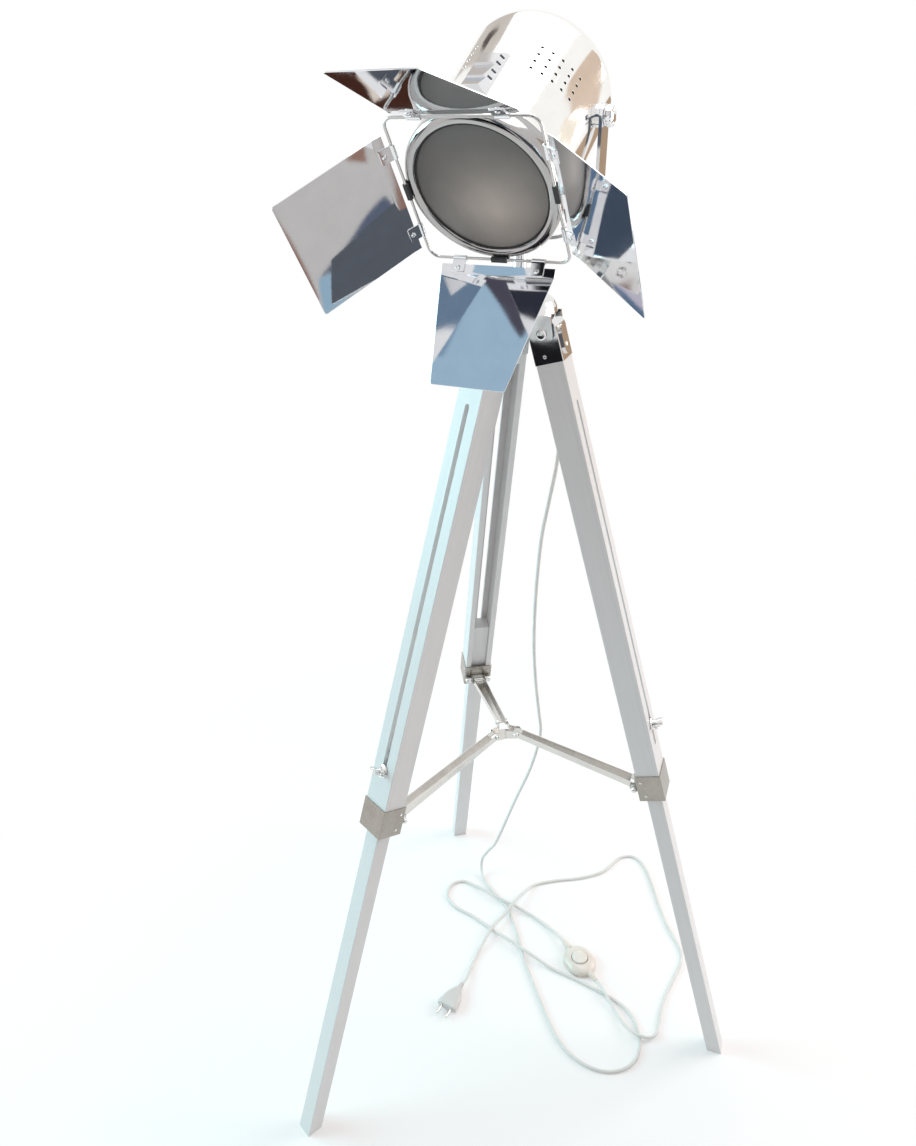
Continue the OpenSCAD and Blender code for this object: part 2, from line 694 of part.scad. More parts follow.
// Oval foot switch with a strain relief at each end
module switch_body() {
  r = 29;
  color(white) on_switch() difference() {
    union() {
      hull() for (s = [-1, 1]) translate([s * (switch_half - r), 0, 0])
        rotate_extrude($fn = 32) polygon([[0, 0], [r - 2, 0], [r, 2], [r, 7],
          [r - 2, 11.5], [r - 7, 15], [r - 12, switch_height], [0, switch_height]]);
      for (s = [-1, 1]) scale([s, 1, 1]) translate([switch_half - 4, 0, 8])
        rotate([0, 90, 0]) cylinder(r1 = 6.4, r2 = 3.9, h = 22, $fn = 24);
    }
    translate([0, 0, switch_height - 6]) cylinder(r = 15.4, h = 20, $fn = 40);
  }
}

module switch_button() {
  color(white) on_switch() translate([0, 0, switch_height - 2.8]) rotate_extrude($fn = 40)
    polygon([[0, 0], [15, 0], [15, 4.6], [13.5, 5.8], [8, 6.5], [0, 6.8]]);
}

module on_plug() {
  on_stand() translate(plug_back) rotate([0, 0, plug_turn]) children();
}

// Moulded two-pin plug, flat and flared towards the pins
module plug_body() {
  color(white) on_plug() {
    translate([0, 0, 8]) rotate([0, 90, 0])
      cylinder(r1 = 3.9, r2 = 6, h = 20, $fn = 24);
    hull() {
      translate([15, -6, 2]) cube([2, 12, 12]);
      translate([34, -16, 1.5]) cube([2, 32, 13]);
      translate([54, -19, 2]) cube([3, 38, 12]);
      translate([36, -14, 0]) cube([19, 28, 16]);
    }
  }
}

module plug_pins() {
  color(chrome) on_plug() for (s = [-1, 1]) translate([0, s * 9.5, 8]) {
    translate([57, 0, 0]) rotate([0, 90, 0]) cylinder(r = 2.4, h = 17, $fn = 24);
    translate([74, 0, 0]) rotate([0, 90, 0]) cylinder(r1 = 2.4, r2 = 1.4, h = 2, $fn = 24);
  }
}

module leg_cap_a() { leg_cap(0); }
module leg_cap_b() { leg_cap(1); }
module leg_cap_c() { leg_cap(2); }
module upper_leg_a() { upper_leg(0); }
module upper_leg_b() { upper_leg(1); }
module upper_leg_c() { upper_leg(2); }
module collar_a() { collar(0); }
module collar_b() { collar(1); }
module collar_c() { collar(2); }
module collar_bolts_a() { collar_bolts(0); }
module collar_bolts_b() { collar_bolts(1); }
module collar_bolts_c() { collar_bolts(2); }
module lower_leg_a() { lower_leg(0); }
module lower_leg_b() { lower_leg(1); }
module lower_leg_c() { lower_leg(2); }
module lock_bolt_a() { lock_bolt(0); }
module lock_bolt_b() { lock_bolt(1); }
module lock_bolt_c() { lock_bolt(2); }
module wing_nut_a() { wing_nut(0); }
module wing_nut_b() { wing_nut(1); }
module wing_nut_c() { wing_nut(2); }
module spreader_arm_a() { spreader_arm(0); }
module spreader_arm_b() { spreader_arm(1); }
module spreader_arm_c() { spreader_arm(2); }
module knob_left() { hand_knob(-1); }
module knob_right() { hand_knob(1); }
module door_top() { door_on(0, top_open, top_length, door_taper); }
module door_left() { door_on(90, left_open, side_length, door_width); }
module door_bottom() { door_on(180, bottom_open, bottom_length, door_taper); }
module door_right() { door_on(270, right_open, side_length, door_width); }

tripod_head();
stem();
hinge_bolts();
leg_cap_a();
leg_cap_b();
leg_cap_c();
upper_leg_a();
upper_leg_b();
upper_leg_c();
collar_a();
collar_b();
collar_c();
collar_bolts_a();
collar_bolts_b();
collar_bolts_c();
lower_leg_a();
lower_leg_b();
lower_leg_c();
lock_bolt_a();
lock_bolt_b();
lock_bolt_c();
wing_nut_a();
wing_nut_b();
wing_nut_c();
spreader_hub();
spreader_arm_a();
spreader_arm_b();
spreader_arm_c();
yoke();
tilt_pivots();
knob_left();
knob_right();
barrel();
rear_dome();
bezel();
lens();
reflector();
lamp_socket();
bulb();
top_cowl();
door_frame();
frame_clips();
door_top();
door_bottom();
door_left();
door_right();
cable_gland();
cord();
cord_tail();
switch_body();
switch_button();
plug_body();
plug_pins();
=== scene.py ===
import math
from contextlib import contextmanager

import bmesh
import bpy
from mathutils import Matrix, Vector


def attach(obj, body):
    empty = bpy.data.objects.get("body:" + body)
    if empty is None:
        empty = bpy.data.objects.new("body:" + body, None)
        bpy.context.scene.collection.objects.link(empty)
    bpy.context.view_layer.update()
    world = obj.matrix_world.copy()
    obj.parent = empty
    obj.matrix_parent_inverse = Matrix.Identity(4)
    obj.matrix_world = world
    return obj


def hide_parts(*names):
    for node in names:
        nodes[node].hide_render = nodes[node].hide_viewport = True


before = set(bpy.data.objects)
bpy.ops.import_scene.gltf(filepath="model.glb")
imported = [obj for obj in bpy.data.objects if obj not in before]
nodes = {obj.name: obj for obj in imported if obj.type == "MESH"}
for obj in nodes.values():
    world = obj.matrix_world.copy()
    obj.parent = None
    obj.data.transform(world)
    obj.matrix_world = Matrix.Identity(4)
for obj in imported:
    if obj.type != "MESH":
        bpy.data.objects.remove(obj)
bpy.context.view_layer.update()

# Sizes and places of the CAD model, in metres and degrees
STEM_Y = -0.0476
LEG_RADIUS, LEG_HEIGHT, LEG_LEAN = 0.076, 1.120, 16.56
LEG_AZIMUTH = {"a": 210, "b": 330, "c": 90}
LOCK_AT = {"a": 0.512, "b": 0.486, "c": 0.505}
TILT_HEIGHT, LAMP_TURN, LAMP_DOWN = 1.495, -35.95, 33.18
BARREL_R = 0.093
FRAME_AHEAD, FRAME_ROLL = 0.150, 2.3
CORD_ENTRY = 0.008


def moved(x, y, z):
    return Matrix.Translation((x, y, z))


def swung(degrees, axis):
    return Matrix.Rotation(math.radians(degrees), 4, axis)


def leg_place(letter):
    """A leg's reference point, with the leg along Z and its slotted face towards +X."""
    return STAND @ swung(LEG_AZIMUTH[letter], "Z") @ moved(LEG_RADIUS, 0, LEG_HEIGHT) @ swung(-LEG_LEAN, "Y")


# The places that the small pieces are set at
STAND = moved(0, STEM_Y, 0)
LAMP = STAND @ moved(0, 0, TILT_HEIGHT) @ swung(LAMP_TURN, "Z") @ swung(90 + LAMP_DOWN, "X")
DOOR_FRAME = LAMP @ moved(0, 0, FRAME_AHEAD) @ swung(FRAME_ROLL, "Z")
SWITCH = STAND @ moved(0.167, 0.009, 0) @ swung(-70.4, "Z")
PLUG = STAND @ moved(-0.066, 0.0025, 0) @ swung(228.5, "Z")
GLAND = STAND @ moved(0, 0, 1.270) @ swung(55, "Z")
TO_X = swung(90, "Y")
TO_BACK_X = swung(-90, "Y")


# ---------------- camera

CAMERA_AT = (-0.2859, -1.1621, 1.4887)
CAMERA_YAW, CAMERA_PITCH, CAMERA_ROLL = 0.2262, -0.4406, 0.0256


def looking(yaw, pitch, roll):
    """Turn of a camera that looks along yaw, from +Y towards +X, and pitch, in radians."""
    forward = Vector((math.sin(yaw) * math.cos(pitch), math.cos(yaw) * math.cos(pitch), math.sin(pitch)))
    right = Vector((math.cos(yaw), -math.sin(yaw), 0))
    up = right.cross(forward)
    across = right * math.cos(roll) + up * math.sin(roll)
    upright = up * math.cos(roll) - right * math.sin(roll)
    return Matrix((across, upright, -forward)).transposed().to_4x4()


camera = bpy.data.objects.new("camera", bpy.data.cameras.new("camera"))
bpy.context.scene.collection.objects.link(camera)
camera.matrix_world = STAND @ moved(*CAMERA_AT) @ looking(CAMERA_YAW, CAMERA_PITCH, CAMERA_ROLL)
camera.data.sensor_width = 36
camera.data.lens = 28.27
camera.data.shift_x = -0.0353
camera.data.shift_y = -0.0258
camera.data.clip_start = 0.05
camera.data.clip_end = 60
bpy.context.scene.camera = camera


# ---------------- shader graph

class Wire:
    """One socket's value. Arithmetic on it adds Math nodes."""

    def __init__(self, graph, socket):
        self.graph = graph
        self.socket = socket

    def math(self, operation, *values):
        return self.graph.node("ShaderNodeMath", {"operation": operation}, dict(enumerate(values)))

    def __add__(self, other):
        return self.math("ADD", self, other)

    def __radd__(self, other):
        return self.math("ADD", other, self)

    def __sub__(self, other):
        return self.math("SUBTRACT", self, other)

    def __rsub__(self, other):
        return self.math("SUBTRACT", other, self)

    def __mul__(self, other):
        return self.math("MULTIPLY", self, other)

    def __rmul__(self, other):
        return self.math("MULTIPLY", other, self)

    def __abs__(self):
        return self.math("ABSOLUTE", self)

    def larger(self, other):
        return self.math("MAXIMUM", self, other)

    def between(self, low, high, start=0.0, end=1.0):
        """Runs from start to end, held there, as the value goes from low to high."""
        return self.graph.node("ShaderNodeMapRange", {}, {
            "Value": self, "From Min": low, "From Max": high, "To Min": start, "To Max": end})


class Graph:
    """Nodes of a material or of the world."""

    def __init__(self, tree):
        self.tree = tree

    def node(self, kind, settings, sockets, out=0):
        """Adds a node. Its settings come first, then the values or links of its sockets."""
        made = self.tree.nodes.new(kind)
        for key, value in settings.items():
            if key == "stops":
                self.set_stops(made.color_ramp, value)
            else:
                setattr(made, key, value)
        self.join(made, sockets)
        return Wire(self, made.outputs[out])

    def join(self, made, sockets):
        for key, value in sockets.items():
            if isinstance(value, Wire):
                self.tree.links.new(value.socket, made.inputs[key])
            else:
                made.inputs[key].default_value = value

    def set_stops(self, band, stops):
        band.elements.remove(band.elements[1])
        band.elements[0].position = stops[0][0]
        band.elements[0].color = (*stops[0][1], 1)
        for place, colour in stops[1:]:
            band.elements.new(place).color = (*colour, 1)

    def point(self, stretch=(1, 1, 1)):
        """Place on the object in metres, stretched along the axes."""
        here = self.node("ShaderNodeTexCoord", {}, {}, "Object")
        return self.node("ShaderNodeMapping", {}, {"Vector": here, "Scale": stretch})

    def cloud(self, at, scale, detail=4.0, rough=0.55, distortion=0.0):
        """Noise about 0.5, with its scale per metre."""
        return self.node("ShaderNodeTexNoise", {}, {
            "Vector": at, "Scale": scale, "Detail": detail, "Roughness": rough, "Distortion": distortion})

    def blend(self, value, *stops):
        """Colour ramp with stops of (place, colour)."""
        return self.node("ShaderNodeValToRGB", {"stops": stops}, {"Fac": value})

    def stained(self, colour, stain, amount):
        """Colour multiplied by a stain. Socket 0 is the factor, 6 and 7 are the two
        colours, and output 2 is their result."""
        return self.node("ShaderNodeMix", {"data_type": "RGBA", "blend_type": "MULTIPLY"},
                         {0: amount, 6: colour, 7: stain}, 2)

    def relief(self, height, strength, depth, over=None):
        """Bump, on top of another bump where one is given."""
        sockets = {"Height": height, "Strength": strength, "Distance": depth}
        if over is not None:
            sockets["Normal"] = over
        return self.node("ShaderNodeBump", {}, sockets)

    def seen_ray(self):
        """1 for what the camera, a mirror or a glass shows, 0 for light on the object."""
        path = {name: self.node("ShaderNodeLightPath", {}, {}, name)
                for name in ("Is Camera Ray", "Is Glossy Ray", "Is Transmission Ray")}
        return path["Is Camera Ray"].larger(path["Is Glossy Ray"]).larger(path["Is Transmission Ray"])


class Finish(Graph):
    """A material, built around its principled shader."""

    def __init__(self, name):
        self.material = bpy.data.materials.new(name)
        self.material.use_nodes = True
        super().__init__(self.material.node_tree)
        self.shader = self.tree.nodes["Principled BSDF"]

    def shade(self, **sockets):
        self.join(self.shader, {key.replace("_", " "): value for key, value in sockets.items()})

    def surface(self, wire):
        self.tree.links.new(wire.socket, self.tree.nodes["Material Output"].inputs["Surface"])


def darker(colour, amount):
    return tuple(max(0.0, c - amount) for c in colour)


METAL_GRAIN, PLASTIC_GRAIN, TIMBER_GRAIN = 0.0002, 0.0001, 0.0003
DENT_DEPTH = 0.01


def plated(name, colour, rough, spread, dent=0.0, dent_scale=9.0, grain=0.08, tint=0.04, draw=(1, 1, 1)):
    """Plated or polished metal: clouded gloss, buffing marks drawn out along the
    draw, a faint tint drift, and sheet that isn't quite flat."""
    look = Finish(name)
    at = look.point()
    haze = look.cloud(at, 34, 5, 0.6)
    marks = look.cloud(look.point(draw), 900, 3, 0.6)
    smear = haze + marks * 0.6
    waves = look.relief(look.cloud(at, dent_scale, 1, 0.3), dent, DENT_DEPTH) if dent else None
    normal = look.relief(marks, grain, METAL_GRAIN, waves)
    look.shade(Metallic=1.0, Base_Color=look.blend(haze, (0.32, darker(colour, tint)), (0.62, colour)),
               Roughness=smear.between(0.55, 1.15, max(0.01, rough - spread), rough + spread), Normal=normal)
    return look.material


def moulded(name, colour, rough, tint, grain, grain_scale, coat=0.0, waxy=0.0):
    """Moulded plastic: spark-eroded grain, slight clouding and a soft gloss."""
    look = Finish(name)
    at = look.point()
    haze = look.cloud(at, 60)
    look.shade(Base_Color=look.blend(haze, (0.3, darker(colour, tint)), (0.7, colour)),
               Roughness=haze.between(0.3, 0.7, rough - 0.05, rough + 0.07),
               Normal=look.relief(look.cloud(at, grain_scale, 2), grain, PLASTIC_GRAIN),
               Coat_Weight=coat, Subsurface_Weight=waxy, Subsurface_Scale=0.002)
    return look.material


# Centre of the warm highlight painted into the lens colour where the bowl's light would show, and how far the
# painted highlight reaches
PAINTED_GLOW_AT, PAINTED_GLOW_REACH = (0.014, -0.027, 0.1465), 0.11


def frosted_glass_finish():
    """Etched glass, cloudy, with the warm light of the bowl painted into its colour as a highlight low down.
    """
    look = Finish("frosted_lens")
    at = look.point()
    haze = look.cloud(at, 22)
    far = look.node("ShaderNodeVectorMath", {"operation": "DISTANCE"},
                    {0: at, 1: LAMP @ Vector(PAINTED_GLOW_AT)}, "Value")
    # painted highlight: the colour is pale and warm near the painted glow's centre and darker grey further
    # out
    glow = look.blend((far + (haze - 0.5) * 0.03).between(0.0, PAINTED_GLOW_REACH),
                      (0.0, (0.98, 0.86, 0.77)), (0.2, (0.80, 0.70, 0.635)), (0.5, (0.50, 0.445, 0.41)),
                      (0.8, (0.32, 0.295, 0.28)), (1.0, (0.27, 0.255, 0.25)))
    look.shade(Base_Color=glow, Transmission_Weight=0.5, IOR=1.5, Coat_Weight=0.15,
               Roughness=haze.between(0.3, 0.7, 0.38, 0.46),
               Normal=look.relief(look.cloud(at, 1600, 2), 0.25, PLASTIC_GRAIN))
    return look.material


def opal_glass_finish():
    """White bulb glass, soft all through."""
    look = Finish("opal_bulb")
    haze = look.cloud(look.point(), 60, 3)
    look.shade(Base_Color=look.blend(haze, (0.3, (0.86, 0.83, 0.77)), (0.7, (0.92, 0.90, 0.85))),
               Roughness=haze.between(0.3, 0.7, 0.22, 0.32), Subsurface_Weight=0.3, Subsurface_Scale=0.01)
    return look.material


# Depth of the joint behind the slotted board, and how far its shadow spreads to each side
GLUE_AT, GLUE_LINE = 0.0123, 0.00045


def painted_timber(letter, jointed):
    """Satin paint over timber: the long grain telegraphs through, and on the upper
    legs the glue line of the slotted board shows as a hair of shadow."""
    look = Finish(("painted_boards_" if jointed else "painted_leg_") + letter)
    to_leg = leg_place(letter).inverted()
    here = look.node("ShaderNodeTexCoord", {}, {}, "Object")
    along = []
    for row in to_leg[:3]:
        reach = look.node("ShaderNodeVectorMath", {"operation": "DOT_PRODUCT"},
                          {0: here, 1: row.to_3d()}, "Value")
        along.append(reach + row[3])
    at = look.node("ShaderNodeCombineXYZ", {}, dict(enumerate(along)))
    drawn = look.node("ShaderNodeMapping", {}, {"Vector": at, "Scale": (1, 1, 0.035)})
    grain = look.cloud(drawn, 240, 6, 0.62, 0.6)
    pores = look.cloud(drawn, 900, 3, 0.7)
    patches = look.cloud(at, 14, 3)
    white = look.blend(grain, (0.30, (0.800, 0.782, 0.778)), (0.5, (0.815, 0.799, 0.796)),
                       (0.72, (0.825, 0.812, 0.809)))
    paint = look.stained(white, look.blend(patches, (0.3, (0.96, 0.955, 0.95)), (0.7, (1, 1, 1))), 0.35)
    height = grain * 0.7 + pores * 0.3
    if jointed:
        joint = abs(along[0] - GLUE_AT).between(0.0001, GLUE_LINE, 1, 0)
        paint = look.stained(paint, (0.55, 0.53, 0.52, 1), joint * 0.22)
        height = height - joint * 2.5
    look.shade(Base_Color=paint, Roughness=grain.between(0.3, 0.7, 0.44, 0.36), Coat_Weight=0.12,
               Coat_Roughness=0.3, Normal=look.relief(height, 0.14, TIMBER_GRAIN))
    return look.material


CHROME = plated("chrome_polished", (0.83, 0.83, 0.84), 0.07, 0.03, dent=0.02, dent_scale=14, grain=0.03)
HOUSING = plated("barrel_chrome", (0.95, 0.935, 0.90), 0.085, 0.03, dent=0.035, dent_scale=8, grain=0.03)
RING = plated("ring_chrome", (0.46, 0.445, 0.44), 0.11, 0.03, grain=0.05)
MIRROR = plated("door_mirror", (0.84, 0.845, 0.86), 0.035, 0.02, dent=0.10, dent_scale=7, grain=0.02)
CAST = plated("cast_chrome", (0.80, 0.795, 0.785), 0.10, 0.04, dent=0.03, dent_scale=30, grain=0.05)
SATIN = plated("satin_collar", (0.41, 0.385, 0.35), 0.28, 0.07, grain=0.18, tint=0.06, draw=(1, 1, 0.06))
ZINC = plated("bright_zinc", (0.74, 0.72, 0.69), 0.20, 0.06, grain=0.12, tint=0.07)
WIREROD = plated("plated_rod", (0.60, 0.59, 0.58), 0.16, 0.05, grain=0.10)
BOLT = plated("bolt_chrome", (0.76, 0.75, 0.74), 0.13, 0.05)
SPUN = plated("spun_reflector", (0.88, 0.88, 0.87), 0.22, 0.05, grain=0.2, draw=(1, 1, 0.2))
NICKEL = plated("nickel_pin", (0.76, 0.75, 0.72), 0.16, 0.05)
CORD = moulded("white_cord", (0.83, 0.82, 0.79), 0.42, 0.05, 0.18, 900)
CREAM = moulded("switch_cream", (0.85, 0.775, 0.70), 0.30, 0.03, 0.15, 1500, coat=0.25, waxy=0.05)
BUTTON = moulded("button_cream", (0.88, 0.82, 0.76), 0.27, 0.03, 0.12, 1500, coat=0.25, waxy=0.05)
PLUG_WHITE = moulded("plug_white", (0.73, 0.70, 0.68), 0.33, 0.04, 0.2, 1300, coat=0.2)
BLACK = moulded("black_plastic", (0.030, 0.030, 0.032), 0.36, 0.012, 0.3, 1300)
RUBBER = moulded("gasket_rubber", (0.045, 0.044, 0.043), 0.55, 0.01, 0.3, 900)
LENS = frosted_glass_finish()
OPAL = opal_glass_finish()


# ---------------- modelling

def alone(shape):
    """Selects one shape and nothing else."""
    bpy.ops.object.select_all(action="DESELECT")
    shape.select_set(True)
    bpy.context.view_layer.objects.active = shape


def pick_all():
    bpy.ops.mesh.select_all(action="SELECT")


@contextmanager
def editing(shape, solid=True):
    """Edit mode on one shape. A solid is cleaned on the way out: doubles merged,
    loose bits dropped, faces pointing outwards."""
    alone(shape)
    bpy.ops.object.mode_set(mode="EDIT")
    bpy.ops.mesh.select_mode(type="VERT")
    yield shape
    if solid:
        pick_all()
        bpy.ops.mesh.remove_doubles(threshold=1e-6)
        bpy.ops.mesh.delete_loose()
        pick_all()
        bpy.ops.mesh.normals_make_consistent(inside=False)
    bpy.ops.object.mode_set(mode="OBJECT")


def pick(kind, test):
    """Selects the vertices, edges or faces that pass a test on their place or normal."""
    bpy.ops.mesh.select_mode(type=kind)
    bpy.ops.mesh.select_all(action="DESELECT")
    mesh = bpy.context.object.data
    bm = bmesh.from_edit_mesh(mesh)
    for item in {"VERT": bm.verts, "EDGE": bm.edges, "FACE": bm.faces}[kind]:
        if test(item):
            item.select_set(True)
    bm.select_flush_mode()
    bmesh.update_edit_mesh(mesh)


def put(shape, place):
    """Moves a shape to its place and leaves its object at the origin."""
    alone(shape)
    shape.matrix_basis = place @ shape.matrix_basis
    bpy.ops.object.transform_apply(location=True, rotation=True, scale=True)
    return shape


def copies(model, places):
    """A copy of a finished shape at each place. The shape itself goes."""
    made = []
    for place in places:
        alone(model)
        bpy.ops.object.duplicate()
        made.append(put(bpy.context.object, place))
    bpy.data.objects.remove(model)
    return made


def modify(shape, kind, **settings):
    """Adds a modifier and applies it."""
    alone(shape)
    modifier = shape.modifiers.new(kind, kind)
    for key, value in settings.items():
        setattr(modifier, key, value)
    bpy.ops.object.modifier_apply(modifier=modifier.name)
    return shape


def cut_out(shape, tool):
    """Cuts a tool's form out of a shape. The tool goes."""
    modify(shape, "BOOLEAN", operation="DIFFERENCE", solver="EXACT", object=tool)
    bpy.data.objects.remove(tool)


def merged(shapes):
    """Joins shapes into the first of them."""
    bpy.ops.object.select_all(action="DESELECT")
    for shape in shapes:
        shape.select_set(True)
    bpy.context.view_layer.objects.active = shapes[0]
    if len(shapes) > 1:
        bpy.ops.object.join()
    return bpy.context.object


def turned(profile, steps=48):
    """A profile of (radius, height) points, drawn out point by point and spun
    about Z. One that comes back to its first point makes a ring."""
    bpy.ops.mesh.primitive_plane_add(size=0.001)
    with editing(bpy.context.object) as shape:
        bpy.ops.mesh.merge(type="CENTER")
        bpy.ops.transform.translate(value=(profile[0][0], 0, profile[0][1]))
        for (r0, z0), (r1, z1) in zip(profile, profile[1:]):
            bpy.ops.mesh.extrude_vertices_move(TRANSFORM_OT_translate={"value": (r1 - r0, 0, z1 - z0)})
        pick_all()
        bpy.ops.mesh.spin(steps=steps, angle=2 * math.pi, center=(0, 0, 0), axis=(0, 0, 1))
    return shape


def drawn_up(outline, size, steps):
    """Draws a flat outline of that half length and half width up along Z,
    through steps of (half length, half width, height)."""
    long, wide = size
    high = 0
    with editing(outline):
        bpy.ops.mesh.select_mode(type="FACE")
        pick_all()
        for number, (length, width, height) in enumerate(steps):
            if number:
                bpy.ops.mesh.extrude_region_move(TRANSFORM_OT_translate={"value": (0, 0, height - high)})
            else:
                bpy.ops.transform.translate(value=(0, 0, height))
            bpy.ops.transform.resize(value=(length / long, width / wide, 1), center_override=(0, 0, height))
            long, wide, high = length, width, height


def eased(shape, width, segments=2, over=30):
    """Bevels the edges that turn by more than so many degrees."""
    return modify(shape, "BEVEL", width=width, segments=segments, limit_method="ANGLE",
                  angle_limit=math.radians(over))


def block(size, at=(0, 0, 0), bevel=0.0):
    bpy.ops.mesh.primitive_cube_add(size=1, location=at, scale=size)
    shape = put(bpy.context.object, Matrix())
    return eased(shape, bevel) if bevel else shape


def drum(radius, low, high, sides, bevel=0.0):
    """Disc or pin along Z. Six sides make a hexagon."""
    bpy.ops.mesh.primitive_cylinder_add(vertices=sides, radius=radius, depth=high - low,
                                        location=(0, 0, (low + high) / 2))
    shape = put(bpy.context.object, Matrix())
    return eased(shape, bevel) if bevel else shape


def piece(name, shapes, material, body, angle=32, replaces=()):
    """Joins shapes into a named piece, finishes it and gives it its body."""
    made = merged(shapes)
    made.name = name
    made.data.name = name
    made.data.materials.clear()
    made.data.materials.append(material)
    bpy.ops.object.shade_smooth_by_angle(angle=math.radians(angle))
    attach(made, body)
    if replaces:
        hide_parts(*replaces)


def screw_model():
    """Domed screw head, 3 mm in radius, with a cross pressed into it."""
    head = turned([(0, -0.0002), (0.003, -0.0002), (0.003, 0.0005), (0.0027, 0.00078), (0.0022, 0.00098),
                   (0.0014, 0.00114), (0, 0.0012)], 32)
    for bar in ((0.0040, 0.0008, 0.002), (0.0008, 0.0040, 0.002)):
        cut_out(head, block(bar, (0, 0, 0.0015)))
    return head


GROOVE = 0.0007


def strain_relief(length, thick, thin, ribs):
    """Tapered boot along Z, with six rows of points to a rib and a groove on two
    of them, apart from its two ends."""
    rows = ribs * 6
    profile = [(0, 0)]
    for row in range(rows + 1):
        part = row / rows
        groove = GROOVE if 0.12 < part < 0.97 and row % 6 in (3, 4) else 0.0
        profile.append((thick + (thin - thick) * part - groove, length * part))
    return turned(profile + [(0, length)], 28)


# ---------------- free cord

# The routes of the CAD model's cords, in millimetres
CORD_ROUTE = [[43, 61.4, 1270], [51, 73, 1267], [58, 81.5, 1257], [63, 85, 1241],
  [68, 86, 1216], [77, 86, 1188], [86, 86, 1144], [91, 82, 1084], [88, 78, 1019],
  [78, 80, 948], [71, 86, 885], [69, 95, 790], [72, 105, 690], [82, 118, 598],
  [94, 130, 524], [103, 142, 459], [94, 165, 365], [74, 195, 263], [49, 238, 122],
  [39, 259, 80], [33, 272, 56], [29, 281, 36], [26.5, 280, 18.5], [25.5, 270.5, 8.2],
  [26, 255, 3.7], [31, 236, 3.1], [39, 214, 3.1], [50, 191, 3.1],
  [60, 159, 3.1], [63, 116, 3.1], [63, 70, 3.1], [63, 24, 3.1], [68, -34, 3.1],
  [73, -88, 3.1], [80, -135, 3.1], [95, -172, 3.1], [120, -200, 3.1],
  [149, -215, 3.1], [181, -216, 3.1], [208, -201, 3.1], [225, -170, 3.1],
  [229, -130, 3.1], [216, -95, 3.1], [186, -62, 3.1], [148, -26, 3.1],
  [111, 5, 4], [85, 32, 8], [62, 58, 9.7], [41, 86, 8], [15, 120, 3.4],
  [-14, 158, 3.1], [-46, 190, 3.1], [-58, 222, 3.1], [-45, 250, 3.1],
  [-18, 256, 3.1], [4, 238, 4.2], [27, 212, 8], [49, 187, 9.7], [77, 163, 7],
  [108, 132, 3.6], [130, 100, 4.2], [144.5, 72.1, 7.2], [149.2, 58.9, 8]]
TAIL_ROUTE = [[184.8, -40.9, 8], [189.2, -54, 9.3], [193, -72, 9.7], [200, -105, 5],
  [208, -142, 7.5], [224, -165, 9.7], [244, -172, 7.5], [262, -161, 3.6],
  [280, -130, 3.1], [303, -96, 3.1], [340, -56, 3.1], [366, -24, 3.1], [373, 8, 3.1],
  [370, 54, 3.1], [373, 116, 3.1], [379.8, 178, 3.1], [380.8, 224, 3.1], [368, 252, 3.1],
  [341, 257, 3.1], [312, 240, 3.1], [284, 223, 3.1], [234, 216, 3.1], [178, 219, 3.1],
  [129, 215, 4], [95, 190, 10], [73, 168, 15.4], [61, 157, 13.5], [44, 143, 9.7],
  [16, 119, 9.7], [-3, 95, 7.5], [-24, 68, 3.6], [-44, 36, 3.8], [-56.7, 13, 6.8],
  [-66, 2.5, 8]]
CORD_R = 0.003
CORD_CLEAR = 0.00002


def smooth_route(route, steps=5):
    """A smooth curve through the route's points, nowhere under the floor."""
    knots = [STAND @ (Vector(point) / 1000) for point in route]
    last = len(knots) - 1
    points = []
    for i in range(last):
        before, here, ahead, after = knots[max(i - 1, 0)], knots[i], knots[i + 1], knots[min(i + 2, last)]
        for step in range(steps):
            t = step / steps
            points.append(0.5 * (2 * here + (ahead - before) * t
                                 + (2 * before - 5 * here + 4 * ahead - after) * t * t
                                 + (3 * here - before - 3 * ahead + after) * t ** 3))
    points.append(knots[-1])
    for point in points:
        point.z = max(point.z, CORD_R + CORD_CLEAR)
    return points


def cord_curve(name, points, solid):
    """A round cord that stands for a CAD solid, with its exit and its length."""
    curve = bpy.data.curves.new(name, "CURVE")
    curve.dimensions = "3D"
    spline = curve.splines.new("POLY")
    spline.points.add(len(points) - 1)
    for knot, point in zip(spline.points, points):
        knot.co = (*point, 1)
    spline.use_smooth = True
    curve.bevel_depth = CORD_R
    curve.bevel_resolution = 4
    curve.use_fill_caps = True
    curve.materials.append(CORD)
    made = bpy.data.objects.new(name, curve)
    bpy.context.scene.collection.objects.link(made)
    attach(made, "stand")
    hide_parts(solid)
    length = sum((b - a).length for a, b in zip(points, points[1:]))
    return made, tuple(points[0]), round(length, 3)


mains_cord, mains_exit, mains_length = cord_curve("mains_cord", smooth_route(CORD_ROUTE), "cord")
plug_cord, plug_exit, plug_length = cord_curve("plug_cord", smooth_route(TAIL_ROUTE), "cord_tail")


# ---------------- foot switch

# Half length and half width of the shell, its cord ends, and the places of its feet
SWITCH_HALF, SWITCH_WIDE = 0.0349, 0.0290
SWITCH_END = 0.0310
FOOT_X, FOOT_Y, FOOT_R = 0.0195, 0.0205, 0.0024

